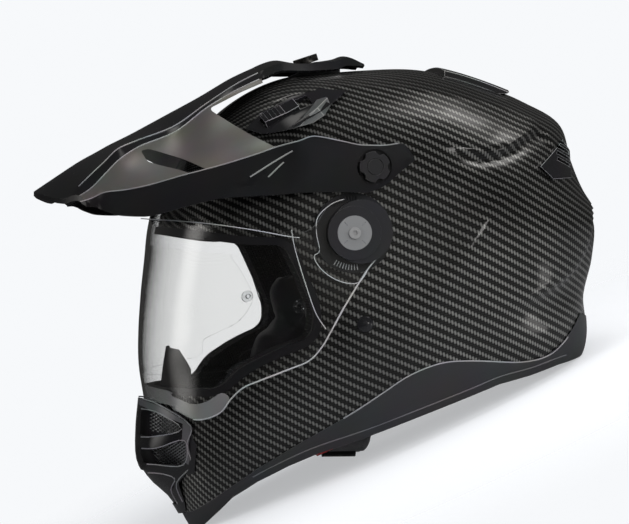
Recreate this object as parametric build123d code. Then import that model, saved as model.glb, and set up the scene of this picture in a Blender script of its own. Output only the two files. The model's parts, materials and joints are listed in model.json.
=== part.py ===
from build123d import *
import math
import os

# Dual sport helmet with a clear face shield, a peak and a carbon fibre shell.
# The shapes are drawn in a head frame: its origin is midway between the two
# shield pivots, X runs to the back of the head, the left side is at minus Y
# and Z is up. At the end every piece is turned into the standing frame, in
# which the helmet rests on its chin and the back of its rim, with the origin
# at the middle of the underside of its bounding box.
# A name that ends in share or shares is a part of a named size.

# Driving dimensions in millimetres
form_radius = 100.0
shell_half_width = 120.0
pole_radius = 24.0
shell_wall = 3.2
overrun = 40.0
body_gap = 0.4
running_fit = 0.05
sliver_share = 0.005

# Shell form: angle up from the front in degrees, radius share, fullness
SHELL_SHARES = [
    (-70, 2.19, 1.8), (-64.5, 2.09, 1.76), (-59, 1.95, 1.74), (-52, 1.83, 1.68), (-46, 1.66, 1.66),
    (-42, 1.545, 1.7),
    (-37, 1.41, 1.77), (-28, 1.265, 1.9), (-15, 1.145, 2.05), (0, 1.08, 2.15), (15, 1.052, 2.2),
    (35, 1.035, 2.25), (55, 1.033, 2.3), (75, 1.04, 2.3), (90, 1.038, 2.3), (105, 1.098, 2.3),
    (120, 1.228, 2.3), (135, 1.387, 2.3), (147, 1.575, 2.3), (155.5, 1.715, 2.35), (164, 1.695, 2.35),
    (171, 1.72, 2.4), (178, 1.815, 2.4), (186, 1.785, 2.4), (194, 1.768, 2.4), (200, 1.85, 2.4),
    (205, 1.895, 2.4), (213, 1.86, 2.4), (228, 1.78, 2.4), (248, 1.78, 2.35), (268, 1.94, 2.2),
    (280, 2.11, 1.95),
]

# Shield form, which only its front quarter uses
SHIELD_SHARES = [
    (-80, 2.5, 1.85), (-70, 2.4, 1.85), (-62, 2.16, 1.83), (-55, 1.91, 1.8), (-49, 1.75, 1.8),
    (-43, 1.61, 1.8),
    (-36, 1.495, 1.85), (-28, 1.37, 1.9), (-20, 1.27, 2.0), (-10, 1.185, 2.1), (0, 1.145, 2.15),
    (10, 1.12, 2.2), (30, 1.12, 2.25), (60, 1.15, 2.3), (110, 1.25, 2.3), (160, 1.45, 2.3),
    (200, 1.7, 2.2), (245, 2.2, 2.0),
]

# Chin vent form, proud of the chin
CHIN_SHARES = [
    (-80, 2.3, 1.5), (-70, 2.2, 1.5), (-65, 2.13, 1.5), (-60, 2.03, 1.52), (-54.7, 1.995, 1.55),
    (-50.5, 1.935, 1.55), (-46.3, 1.79, 1.58), (-42, 1.64, 1.62), (-36, 1.48, 1.7), (-25, 1.26, 1.8),
    (0, 1.1, 2.0), (60, 1.1, 2.2), (120, 1.2, 2.2), (180, 1.5, 2.2), (230, 1.9, 2.0),
]

rings_per_side = 8
ease_span = 12

# Side outlines, x and z as shares of the form radius
EYE_PORT_SHARES = [
    (-2.2, 0.02), (-1.05, -0.02), (-0.655, -0.076), (-0.425, -0.075), (-0.325, -0.28),
    (-0.235, -0.49), (-0.25, -0.65), (-0.447, -0.727), (-0.67, -0.85), (-0.785, -0.99), (-2.2, -1.035),
]
SHELL_EDGE_SHARES = [
    (-0.95, -1.86), (-0.88, -1.81), (-0.708, -1.65), (-0.54, -1.505), (-0.3, -1.34), (-0.03, -1.17),
    (0.1, -1.085), (0.225, -1.0), (0.36, -0.91), (0.51, -0.845), (0.65, -0.815), (0.85, -0.815), (1.14, -0.83),
    (1.33, -0.8), (1.45, -0.72), (1.54, -0.61), (1.6, -0.53), (1.73, -0.56),
]
RIM_SHARES = [
    (-0.95, -2.05), (-0.86, -1.97), (-0.774, -1.84), (-0.67, -1.7), (-0.53, -1.59), (-0.35, -1.485),
    (-0.17, -1.4), (0.15, -1.285),
    (0.54, -1.14), (0.81, -1.04), (1.0, -0.97), (1.23, -0.92), (1.44, -0.86), (1.7, -0.81),
]
# Where the chin and the back of the rim stand
FOOT_SHARES = [(-0.84, -1.945), (1.7, -0.8)]
SHIELD_OUTLINE_SHARES = [
    (-2.2, 0.16), (-1.13, 0.115), (-0.9, 0.085), (-0.63, 0.045), (-0.425, 0.01), (-0.33, 0.0),
    (-0.24, 0.05), (-0.15, 0.17), (0.0, 0.2), (0.15, 0.14), (0.2, 0.0), (0.17, -0.12), (0.08, -0.24),
    (-0.05, -0.45), (-0.13, -0.6), (-0.19, -0.71), (-0.27, -0.8), (-0.4, -0.857), (-0.56, -0.925),
    (-0.66, -0.975), (-0.73, -1.05), (-0.78, -1.13), (-0.85, -1.175), (-0.935, -1.19),
    (-1.04, -1.14), (-1.16, -1.097), (-2.2, -1.02),
]

# Gasket round the eye port
gasket_lip = 5.0
gasket_web = 1.5
gasket_proud = 1.8
gasket_inner = 2.0
eye_port_round = 6.0

# Lower trim
trim_proud = 0.8
trim_wall = 5.5
trim_lip_width = 8.0
trim_lip_height = 5.0

# Liner
liner_gap = 0.3
liner_wall = 26.0
chin_liner_wall = 16.0
pad_wall = 8.0
cheek_wall = 22.0
guard_wall = 1.8
curtain_wall = 1.6

# Shield and its pivots
base_wall = 2.2
shield_wall = 2.4
base_radius = 25.0
hub_radius = 9.0
detent_radius = 21.5
detent_pitch = 4.8
detent_length = 3.6
detent_width = 1.1
detent_depth = 1.0
detent_count = 9
detent_start = 236
cover_radius = 16.8
wing_radius = 23.4
cover_height = 3.6
wing_height = 2.8
WING_SHARES = (2.0, 1.4)
insert_radius = 10.8
insert_depth = 1.0
insert_height = 1.4
pivot_shank_radius = 2.5
pivot_head_radius = 3.7
pivot_head_height = 1.3
socket_radius = 1.7
socket_depth = 0.9
tick_length = 2.8
tick_width = 0.5
anti_fog_wall = 0.9
pin_radius = 4.2
pin_height = 1.6
pin_stem_radius = 1.6
PIN_SHARE = (-0.335, -0.456)

# Peak
peak_wall = 2.6
KNOB_SHARE = (0.125, 0.412)
arm_half_width = 128.0
knob_pocket_radius = 11.0
knob_pocket_depth = 1.4
side_mount_radius = 9.0
side_mount_height = 3.0
knob_radius = 9.6
knob_hub_radius = 4.6
knob_height = 4.4
knob_shank_radius = 3.0
knob_scallop_radius = 3.4
knob_lobes = 5
top_screw_x_share = -0.1
top_screw_radius = 8.2
top_screw_height = 4.6
top_screw_shank_radius = 3.0
coin_slot_width = 2.0
coin_slot_depth = 2.2
peak_tilt = 3.0
relief_width = 34.0
seat_radius = 10.5
top_mount_length = 40.0
top_mount_width = 26.0
top_mount_height = 20.0

# Vents
vent_proud = 2.6
vent_sink = 1.2
slider_length = 24.0
slider_width = 11.0
slider_height = 3.0
slider_lift = 1.2
slider_steps = 5
stepped_share = 0.6
fin_proud = 5.2
step_rise = 1.6
slider_travel = 8.0
slot_margin = 1.0
exhaust_proud = 2.4
exhaust_slots = 4
mesh_wall = 0.8
shutter_wall = 1.6
slider_key_length = 8.0
slider_key_width = 6.0

# Strap and its rings
strap_width = 22.0
strap_wall = 1.8
ring_wire = 3.0
ring_width = 30.0
ring_depth = 18.0
rivet_radius = 5.3
rivet_height = 2.4
rivet_stem_radius = 2.4
rivet_stem_length = 4.8
dome_share = 1.4
tab_wall = 1.2
tab_length = 13.0
tab_width = 9.0

# Derived sizes
hub_top = shell_half_width + base_wall + body_gap + shield_wall + body_gap
ear_half_width = shell_half_width + base_wall + body_gap + shield_wall
cover_top = hub_top + cover_height
knob_x = KNOB_SHARE[0] * form_radius
knob_z = KNOB_SHARE[1] * form_radius
reach = 4 * form_radius
chin_foot, back_foot = FOOT_SHARES
stance_pitch = math.degrees(math.atan2(back_foot[1] - chin_foot[1], back_foot[0] - chin_foot[0]))
side_reach = shell_half_width + overrun
stance_slope = math.tan(math.radians(stance_pitch))


# Form tools

def blend_rows(table, angle):
    """Radius share and fullness at an angle, smoothly between the rows of a table."""
    count = len(table)
    first = table[0][0]
    turned = (angle - first) % 360 + first

    def row(index):
        lap, place = divmod(index, count)
        return table[place][0] + 360 * lap, table[place][1], table[place][2]

    low = max(i for i in range(count) if table[i][0] <= turned)
    before, start, end, after = (row(low + step) for step in (-1, 0, 1, 2))
    span = end[0] - start[0]
    t = (turned - start[0]) / span
    values = []
    for k in (1, 2):
        rise_in = (end[k] - before[k]) / (end[0] - before[0]) * span
        rise_out = (after[k] - start[k]) / (after[0] - start[0]) * span
        values.append(
            (2 * t**3 - 3 * t**2 + 1) * start[k]
            + (t**3 - 2 * t**2 + t) * rise_in
            + (3 * t**2 - 2 * t**3) * end[k]
            + (t**3 - t**2) * rise_out
        )
    return values


def loop_shape(table, angle, across):
    """Radius share and fullness of a side loop, whose ridges fade towards the sides."""
    share, fullness = blend_rows(table, angle)
    around = [blend_rows(table, angle + step * ease_span)[0] for step in (-2, -1, 0, 1, 2)]
    return share + (sum(around) / len(around) - share) * across**2, fullness


def loop_radius(table, angle, across, inset):
    """Radius of the form at an angle and at a part of the way to the side."""
    share, fullness = loop_shape(table, angle, across)
    full = form_radius * share - inset - pole_radius
    return pole_radius + full * (1 - across**fullness) ** (1 / fullness)


def half_width_at(table, x, z, half_width, inset=0.0):
    """Distance from the middle plane to the form at a place in the side view."""
    angle = math.degrees(math.atan2(z, -x))
    radius = math.hypot(x, z)
    low, high = 0.0, 1.0
    for _ in range(30):
        across = (low + high) / 2
        if loop_radius(table, angle, across, inset) > radius:
            low = across
        else:
            high = across
    return (half_width - inset) * low


made_forms = {}


def form(table, half_width, inset=0.0):
    """Closed body lofted through side loops whose radius shrinks towards both sides."""
    key = (id(table), half_width, inset)
    if key in made_forms:
        return made_forms[key]
    first = table[0][0]
    marks = [(row[0] - first) / 360 for row in table] + [1]
    loops = []
    for ring in range(-rings_per_side, rings_per_side + 1):
        across = math.sin(math.pi * ring / (2 * rings_per_side))
        points = []
        for angle, _, _ in table:
            radius = loop_radius(table, angle, abs(across), inset)
            turn = math.radians(angle)
            points.append(
                Vector(-radius * math.cos(turn), (half_width - inset) * across, radius * math.sin(turn))
            )
        loops.append(Wire([Edge.make_spline(points, periodic=True, parameters=marks)]))
    made_forms[key] = Part() + Solid.make_loft(loops)
    return made_forms[key]


def shell_form(inset=0.0):
    return form(SHELL_SHARES, shell_half_width, inset)


def shield_form(inset=0.0):
    return form(SHIELD_SHARES, ear_half_width, inset)


def scaled(shares, unit=form_radius):
    return [tuple(value * unit for value in point) for point in shares]


def side_face(points, rounding=0.0):
    """Face in the middle plane from an outline of x and z."""
    corners = [(x, 0, z) for x, z in points]
    line = FilletPolyline(*corners, radius=rounding, close=True) if rounding else Polyline(*corners, close=True)
    return make_face(line)


def through(face, depth=side_reach):
    """Prism across the whole width from a face in the middle plane."""
    return extrude(face, amount=depth, dir=(0, 1, 0), both=True)


def below(shares, lift=0.0):
    """Everything under a side line, which runs on level beyond both its ends."""
    points = [(x, z + lift) for x, z in scaled(shares)]
    first, last = points[0], points[-1]
    outline = [(-reach, first[1] - reach * stance_slope)] + points
    outline += [(reach, last[1]), (reach, -reach * 2), (-reach, -reach * 2)]
    return through(side_face(outline))


def left_half(shape, from_middle=0.0):
    keep = Pos(0, -from_middle - side_reach, 0) * Box(2 * reach, 2 * side_reach, 4 * reach)
    return shape & keep


def mirrored(shape):
    return mirror(shape, Plane.XZ)


def side_cylinder(x, z, radius, start, stop):
    """Cylinder along the width on the left side, between two distances from the middle plane."""
    middle = -(start + stop) / 2
    return Pos(x, middle, z) * Rot(90, 0, 0) * Cylinder(radius, stop - start)


def surface_plane(x, z, heading, inset=0.0):
    """Plane on the left of the shell, facing out, with its X along a heading in the side view."""
    step = shell_wall

    def place(px, pz):
        return Vector(px, -half_width_at(SHELL_SHARES, px, pz, shell_half_width, inset), pz)

    here = place(x, z)
    across = place(x + step, z) - place(x - step, z)
    upward = place(x, z + step) - place(x, z - step)
    normal = across.cross(upward).normalized()
    if normal.Y > 0:
        normal = -normal
    along = Vector(heading[0], 0, heading[1])
    along = along - normal * along.dot(normal)
    return Plane(origin=here, x_dir=along.normalized(), z_dir=normal)


def largest(shape):
    """The shape without slivers that a cut may leave."""
    solids = shape.solids()
    most = max(solid.volume for solid in solids)
    kept = [solid for solid in solids if solid.volume > most * sliver_share]
    return Part() + kept


eye_face = side_face(scaled(EYE_PORT_SHARES), eye_port_round)


def eye_prism(grow=0.0):
    return through(offset(eye_face, grow, kind=Kind.INTERSECTION) if grow else eye_face)


# Shell

CHIN_HOLE_SHARES = [(-2.2, -1.2), (-1.0, -1.2), (-1.02, -1.6), (-2.2, -1.75)]
chin_hole_half_width = 36.0
exhaust_x_share = 1.44
exhaust_z_share = 0.47
exhaust_hole_radius = 7.0
RIVET_SHARE = (0.085, -0.572)


def crown_slot(depth):
    """Air slot under a forehead vent, on the left, in which the slider's key runs."""
    length = slider_key_length + slider_travel + 2 * slot_margin
    middle = slider_length / 4 + slider_travel / 2
    return slider_plane() * Pos(middle, 0, 0) * Box(length, slider_key_width + 2 * slot_margin, depth)


def exhaust_hole(depth):
    plane = surface_plane(exhaust_x_share * form_radius, exhaust_z_share * form_radius, (1, 0))
    return plane * Cylinder(exhaust_hole_radius, depth)


def both_sides(shape):
    return shape + mirrored(shape)


def outer_shell():
    shell = shell_form() - shell_form(shell_wall)
    shell -= eye_prism(gasket_web)
    shell -= below(SHELL_EDGE_SHARES)
    hole = through(side_face(scaled(CHIN_HOLE_SHARES)), chin_hole_half_width)
    deep = 4 * shell_wall
    holes = crown_slot(deep) + exhaust_hole(deep)
    pivot_hole = side_cylinder(0, 0, pivot_shank_radius + running_fit, shell_half_width - deep, side_reach)
    knob_hole = side_cylinder(knob_x, knob_z, knob_shank_radius + running_fit, form_radius, side_reach)
    rivet_x, rivet_z = scaled([RIVET_SHARE])[0]
    rivet_plane = surface_plane(rivet_x, rivet_z, (1, 0))
    rivet_hole = rivet_plane * Cylinder(rivet_stem_radius + running_fit, deep)
    return largest(shell - hole - both_sides(holes) - both_sides(pivot_hole + knob_hole + rivet_hole))


def lower_trim():
    band = shell_form(-trim_proud) - shell_form(trim_wall)
    lip = shell_form(trim_wall) - shell_form(trim_wall + trim_lip_width)
    lip &= below(RIM_SHARES, trim_lip_height)
    trim = (band + lip) & below(SHELL_EDGE_SHARES)
    trim -= below(RIM_SHARES)
    trim -= through(side_face(scaled(CHIN_HOLE_SHARES)), chin_hole_half_width)
    return largest(trim - ground_cut())


def ground_cut():
    """Everything under the standing plane, which trims a small flat at the chin and at the back."""
    chin_x, chin_z = scaled(FOOT_SHARES)[0]
    ground = Pos(chin_x, 0, chin_z) * Rot(0, -stance_pitch, 0) * Pos(0, 0, -reach)
    return ground * Box(4 * reach, 4 * reach, 2 * reach)


def ring_prism(inner, outer):
    return eye_prism(outer) - eye_prism(inner)


def eyeport_gasket():
    lip = (shell_form(-gasket_proud) - shell_form()) & ring_prism(0, gasket_lip)
    web = (shell_form() - shell_form(shell_wall)) & ring_prism(0, gasket_web)
    inner = (shell_form(shell_wall) - shell_form(shell_wall + gasket_inner)) & ring_prism(0, gasket_lip)
    return largest(lip + web + inner)


# Vents on the forehead

VENT_SHARES = [
    (-0.62, 0.655), (-0.505, 0.765), (-0.325, 0.86), (-0.13, 0.915), (0.02, 0.9), (-0.06, 0.835),
    (-0.18, 0.755), (-0.3, 0.69), (-0.4, 0.64), (-0.53, 0.62),
]
VENT_HEADING = (0.85, 0.45)
SLIDER_SHARE = (-0.4, 0.735)
FIN_SHARES = [(-0.4, 0.64), (-0.33, 0.69), (-0.14, 0.83), (-0.1, 0.81), (-0.18, 0.755), (-0.3, 0.69)]


def slider_plane():
    x, z = scaled([SLIDER_SHARE])[0]
    return surface_plane(x, z, VENT_HEADING)


def slider_pocket():
    length = slider_length + slider_travel + 2 * slot_margin
    depth = vent_proud + vent_sink
    return slider_plane() * Pos(slider_travel / 2, 0, slot_margin) * Box(
        length, slider_width + 2 * body_gap, 2 * depth
    )


def forehead_vent():
    plate = shell_form(-vent_proud) - shell_form()
    plate &= through(side_face(scaled(VENT_SHARES)))
    fin = shell_form(-fin_proud) - shell_form()
    fin &= through(side_face(scaled(FIN_SHARES)))
    vent = left_half(plate + fin, shell_half_width / 3)
    return largest(vent - slider_pocket() - crown_slot(4 * shell_wall))


def forehead_slider():
    """Wedge with grip steps that slides along the vent."""
    body = Box(slider_length, slider_width, slider_height)
    pitch = slider_length * stepped_share / slider_steps
    for step in range(slider_steps):
        rise = step_rise * (1 - step / slider_steps)
        place = -slider_length / 2 + pitch * (step + 0.5)
        body += Pos(place, 0, slider_height / 2 + rise / 2) * Box(pitch, slider_width, rise)
    body = Pos(0, 0, slider_height / 2 + slider_lift) * body
    key_height = slider_lift + 2 * shell_wall
    key = Pos(slider_length / 4, 0, slider_lift - key_height / 2)
    body += key * Box(slider_key_length, slider_key_width, key_height)
    return slider_plane() * body


# Vents at the back

REAR_VENT_SHARES = [(0.74, 0.9), (1.16, 0.9), (1.27, 0.98), (1.17, 1.14), (1.03, 1.2), (0.74, 1.2)]
rear_vent_half_width = 42.0
rear_vent_proud = 4.2
rear_vent_slot = 3.0
rear_vent_slot_share = (1.13, 1.1)
EXHAUST_SHARES = [(1.27, 0.42), (1.49, 0.6), (1.56, 0.53), (1.54, 0.35), (1.37, 0.34)]
exhaust_from_middle = 28.0
exhaust_slot_length = 30.0
exhaust_slot_width = 26.0
exhaust_slots_height = 17.0
exhaust_slot_share = 0.45
exhaust_slot_lean = 20
EXHAUST_SLOT_SHARE = (1.56, -0.67, 0.4)


def top_rear_vent():
    vent = shell_form(-rear_vent_proud) - shell_form()
    vent &= through(side_face(scaled(REAR_VENT_SHARES)), rear_vent_half_width)
    slot_x, slot_z = scaled([rear_vent_slot_share])[0]
    for side in (-1, 1):
        slot = Pos(slot_x, side * rear_vent_half_width / 2, slot_z)
        vent -= slot * Box(rear_vent_proud * 3, rear_vent_half_width / 2, rear_vent_slot)
    return largest(vent)


def rear_exhaust():
    vent = shell_form(-exhaust_proud) - shell_form()
    vent = left_half(vent & through(side_face(scaled(EXHAUST_SHARES))), exhaust_from_middle)
    pitch = exhaust_slots_height / exhaust_slots
    x, y, z = scaled([EXHAUST_SLOT_SHARE])[0]
    for slot in range(exhaust_slots):
        cut = Pos(x, y, z + pitch * (slot + 0.5)) * Rot(0, exhaust_slot_lean, 0)
        vent -= cut * Box(exhaust_slot_length, exhaust_slot_width, pitch * exhaust_slot_share)
    return largest(vent)


# Chin vent

CHIN_FRAME_SHARES = [
    (-2.2, -0.98), (-1.215, -1.09), (-1.12, -1.12), (-0.935, -1.235), (-0.95, -1.37), (-0.91, -1.5),
    (-0.985, -1.63), (-0.935, -1.76), (-0.92, -1.83), (-2.2, -2.6),
]
CHIN_UPPER_SHARES = [(-2.2, -1.16), (-1.14, -1.16), (-0.985, -1.26), (-1.14, -1.32), (-2.2, -1.36)]
CHIN_LOWER_SHARES = [(-2.2, -1.42), (-1.14, -1.4), (-0.965, -1.33), (-0.955, -1.5), (-2.2, -1.53)]
CHIN_HOLLOW_SHARES = [(-2.2, -1.17), (-0.9, -1.17), (-0.9, -1.56), (-2.2, -1.72)]
chin_frame_wall = 3.0
chin_rib_half_width = 5.0
shutter_half_width = 30.0
SHUTTER_SHARES = [(-2.2, -1.22), (-1.0, -1.22), (-1.0, -1.5), (-2.2, -1.55)]


def chin_form(inset=0.0):
    return form(CHIN_SHARES, shell_half_width, inset)


def chin_openings(grow=0.0):
    """The upper and the lower slots on both sides of the middle rib."""
    slots = through(side_face(scaled(CHIN_UPPER_SHARES))) + through(side_face(scaled(CHIN_LOWER_SHARES)))
    return slots - Box(4 * reach, 2 * chin_rib_half_width, 4 * reach)


def chin_vent_frame():
    outer = chin_form() - shell_form()
    outer &= through(side_face(scaled(CHIN_FRAME_SHARES)))
    hollow = chin_form(chin_frame_wall) & through(side_face(scaled(CHIN_HOLLOW_SHARES)), chin_hole_half_width)
    frame = outer - hollow - chin_openings()
    return largest(frame - below(RIM_SHARES) - ground_cut())


def chin_vent_mesh():
    """Metal mesh panel in the shell's chin opening, drawn as a plain plate."""
    plate = shell_form(0) - shell_form(mesh_wall)
    plate &= through(side_face(scaled(CHIN_HOLE_SHARES)), chin_hole_half_width)
    return largest(plate)


def chin_vent_shutter():
    """Flap behind the mesh that closes the chin inlet."""
    flap = shell_form(shell_wall + body_gap) - shell_form(shell_wall + body_gap + shutter_wall)
    return largest(flap & through(side_face(scaled(SHUTTER_SHARES)), shutter_half_width))


# Liner, pads and guards

def inner_cut():
    """What is taken off every inner piece: the eye port and the space below the rim."""
    return eye_prism(liner_gap) + below(RIM_SHARES, trim_lip_height + liner_gap)


CHIN_REGION_SHARES = [(-2.4, -0.9), (-0.42, -0.9), (-0.42, -2.4), (-2.4, -2.4)]


def impact_liner():
    outer = shell_wall + gasket_inner + liner_gap
    liner = shell_form(outer) - shell_form(outer + liner_wall)
    liner -= inner_cut()
    liner -= through(side_face(scaled(CHIN_REGION_SHARES)))
    liner -= neck_region(liner_gap)
    channel = strap_band(left_end_share, strap_wall + 2 * liner_gap, strap_width + 2 * liner_gap)
    deep = 2 * (liner_wall + overrun)
    return largest(liner - both_sides(crown_slot(deep) + exhaust_hole(deep) + channel))


def chin_liner():
    outer = trim_wall + liner_gap
    liner = shell_form(outer) - shell_form(outer + chin_liner_wall)
    liner &= through(side_face(scaled(CHIN_REGION_SHARES)))
    liner -= eye_prism(liner_gap) + below(RIM_SHARES, trim_lip_height + curtain_wall)
    liner -= through(side_face(scaled(CHIN_HOLLOW_SHARES)), chin_hole_half_width + liner_gap)
    return largest(liner - breath_guard())


pad_inset = shell_wall + gasket_inner + 2 * liner_gap + liner_wall
CROWN_PAD_SHARES = [(-0.8, 0.12), (1.3, -0.1), (1.5, 0.8), (0.6, 1.3), (-0.6, 1.1)]
CHEEK_SHARES = [(-0.2, -0.3), (0.3, -0.3), (0.42, -0.85), (0.1, -1.14), (-0.38, -1.32), (-0.4, -0.86)]
cheek_round = 9.0
cheek_from_middle = 48.0
NECK_REGION_SHARES = [(0.46, -0.2), (2.4, -0.2), (2.4, -2.4), (0.46, -2.4)]
neck_wall = 20.0
neck_inset = 14.0
neck_height = 26.0


def neck_region(grow=0.0):
    """Space at the back of the rim that the neck roll fills."""
    face = side_face([(x - grow, z) for x, z in scaled(NECK_REGION_SHARES)])
    return through(face) & below(RIM_SHARES, neck_height + grow)


def crown_pad():
    pad = shell_form(pad_inset) - shell_form(pad_inset + pad_wall)
    pad &= through(side_face(scaled(CROWN_PAD_SHARES), cheek_round))
    return largest(pad)


def cheek_pad():
    """Cheek cushion with a crowned face towards the head."""
    outline = side_face(scaled(CHEEK_SHARES), cheek_round)
    pad = (shell_form(pad_inset) - shell_form(pad_inset + cheek_wall)) & through(outline)
    pad = left_half(pad, cheek_from_middle)
    return largest(pad - inner_cut())


def neck_roll():
    """Padded roll round the back of the rim."""
    roll = shell_form(neck_inset) - shell_form(neck_inset + neck_wall)
    return largest((roll & neck_region()) - below(RIM_SHARES, liner_gap) - ground_cut())


guard_half_width = 46.0
GUARD_SHARES = [(-2.2, -0.66), (-0.98, -0.76), (-0.86, -1.0), (-0.9, -1.1), (-2.2, -1.1)]
guard_inset = 12.0


def breath_guard():
    """Soft deflector that stands up from the chin bar."""
    guard = shell_form(guard_inset) - shell_form(guard_inset + guard_wall)
    guard &= through(side_face(scaled(GUARD_SHARES)), guard_half_width)
    return largest(guard)


curtain_half_width = 44.0
curtain_depth_share = 0.4


def chin_curtain():
    """Fabric flap under the chin, from the rim towards the throat."""
    band = shell_form(trim_wall) - shell_form(trim_wall + curtain_depth_share * form_radius)
    band &= below(RIM_SHARES, trim_lip_height + curtain_wall)
    band -= below(RIM_SHARES, trim_lip_height)
    front = through(side_face(scaled([(-2.2, 0), (-0.5, 0), (-0.5, -2.4), (-2.2, -2.4)])), curtain_half_width)
    return largest(band & front)


# Shield and pivots

def face_shield():
    shield = shield_form() - shield_form(shield_wall)
    shield &= through(side_face(scaled(SHIELD_OUTLINE_SHARES)))
    hub = side_cylinder(0, 0, hub_radius + running_fit, form_radius, side_reach)
    pin_hole = insert_pin_plane() * Cylinder(pin_stem_radius + running_fit, 4 * shield_wall)
    return largest(shield - both_sides(hub + pin_hole))


def insert_pin_plane():
    x, z = scaled([PIN_SHARE])[0]
    width = half_width_at(SHIELD_SHARES, x, z, ear_half_width)
    step = shell_wall
    front = half_width_at(SHIELD_SHARES, x - step, z, ear_half_width)
    back = half_width_at(SHIELD_SHARES, x + step, z, ear_half_width)
    low = half_width_at(SHIELD_SHARES, x, z - step, ear_half_width)
    high = half_width_at(SHIELD_SHARES, x, z + step, ear_half_width)
    across = Vector(2 * step, front - back, 0)
    upward = Vector(0, low - high, 2 * step)
    return Plane(origin=(x, -width, z), x_dir=across.normalized(), z_dir=across.cross(upward).normalized())


INSERT_SHARES = [
    (-2.2, -0.09), (-0.62, -0.15), (-0.45, -0.2), (-0.31, -0.42), (-0.31, -0.52), (-0.42, -0.64),
    (-0.66, -0.75), (-0.83, -0.88), (-2.2, -0.93),
]


def anti_fog_insert():
    """Second lens held inside the shield by two pins."""
    start = shield_wall + running_fit
    lens = shield_form(start) - shield_form(start + anti_fog_wall)
    lens &= through(side_face(scaled(INSERT_SHARES)))
    stem = insert_pin_plane() * Cylinder(pin_stem_radius + running_fit, 4 * shield_wall)
    return largest(lens - both_sides(stem))


def insert_pins():
    """Pins with a head on the outside and a stem through shield and insert."""
    plane = insert_pin_plane()
    head = plane * Pos(0, 0, pin_height / 2) * Cylinder(pin_radius, pin_height)
    slot = plane * Pos(0, 0, pin_height) * Box(2 * pin_radius, tick_width * 2, pin_height)
    depth = shield_wall + anti_fog_wall
    stem = plane * Pos(0, 0, -depth / 2) * Cylinder(pin_stem_radius, depth)
    return both_sides(head - slot + stem)


def shield_base():
    """Plate on the shell that carries the shield's hub and its detents."""
    plate = side_cylinder(0, 0, base_radius, shell_half_width, shell_half_width + base_wall)
    hub = side_cylinder(0, 0, hub_radius, shell_half_width, hub_top)
    base = plate + hub
    top = shell_half_width + base_wall
    for notch in range(detent_count):
        angle = detent_start + notch * detent_pitch
        groove = Pos(0, -top, 0) * Rot(0, angle, 0) * Pos(detent_radius, 0, 0)
        base -= groove * Box(detent_length, 2 * detent_depth, detent_width)
    hole = side_cylinder(0, 0, pivot_shank_radius + running_fit, form_radius, side_reach)
    return base - hole - shell_form()


def pivot_cover():
    """Dark disc with a crescent wing towards the back."""
    disc = side_cylinder(0, 0, cover_radius, hub_top, cover_top)
    wing = side_cylinder(0, 0, wing_radius, hub_top, hub_top + wing_height)
    upper, lower = (wing_radius * share for share in WING_SHARES)
    behind = through(side_face([(0, 0), (wing_radius, upper), (reach, 0), (wing_radius, -lower)]))
    cover = disc + (wing & behind)
    recess = side_cylinder(0, 0, insert_radius + running_fit, cover_top - insert_depth, side_reach)
    hole = side_cylinder(0, 0, pivot_shank_radius + running_fit, form_radius, side_reach)
    return cover - recess - hole


def pivot_insert():
    """Metal disc in the cover with four ticks."""
    floor = cover_top - insert_depth
    disc = side_cylinder(0, 0, insert_radius, floor, floor + insert_height)
    for quarter in range(4):
        place = Pos(0, -floor - insert_height, 0) * Rot(0, 90 * quarter + 45, 0)
        disc -= place * Pos(insert_radius - tick_length, 0, 0) * Box(tick_length, tick_width, tick_width)
    return disc - side_cylinder(0, 0, pivot_shank_radius + running_fit, form_radius, side_reach)


def pivot_screw():
    seat = cover_top - insert_depth + insert_height
    head = side_cylinder(0, 0, pivot_head_radius, seat, seat + pivot_head_height)
    shank = side_cylinder(0, 0, pivot_shank_radius, shell_half_width - shell_wall, seat)
    top = seat + pivot_head_height
    socket = Pos(0, -top, 0) * Rot(90, 0, 0) * extrude(RegularPolygon(socket_radius, 6), socket_depth, both=True)
    return head + shank - socket


# Peak

# Stations: x, middle z, then y and z of bevel top, bevel foot, panel, arm top and arm foot
PEAK_SHARES = [
    (-1.96, 0.22, 0.45, 0.10, 0.60, 0.02, 0.65, -0.005, 0.70, -0.03, 0.74, -0.07),
    (-1.76, 0.365, 0.50, 0.19, 0.62, 0.12, 0.66, 0.10, 0.70, 0.08, 0.74, 0.04),
    (-1.60, 0.46, 0.62, 0.35, 0.69, 0.27, 0.70, 0.24, 0.71, 0.205, 0.74, 0.11),
    (-1.50, 0.515, 0.62, 0.445, 0.70, 0.37, 0.745, 0.31, 0.79, 0.255, 0.82, 0.115),
    (-1.41, 0.565, 0.62, 0.53, 0.69, 0.46, 0.77, 0.36, 0.85, 0.265, 0.88, 0.105),
    (-1.28, 0.63, 0.555, 0.585, 0.635, 0.543, 0.785, 0.42, 0.93, 0.29, 0.955, 0.10),
    (-1.04, 0.76, 0.45, 0.675, 0.525, 0.638, 0.80, 0.51, 1.03, 0.36, 1.06, 0.16),
    (-0.82, 0.88, 0.40, 0.825, 0.47, 0.80, 0.845, 0.63, 1.115, 0.42, 1.145, 0.215),
    (-0.60, 1.01, 0.36, 0.965, 0.42, 0.925, 0.91, 0.70, 1.18, 0.49, 1.212, 0.233),
    (-0.46, 1.075, 0.345, 1.035, 0.40, 0.99, 0.93, 0.745, 1.21, 0.54, 1.245, 0.238),
]
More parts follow.
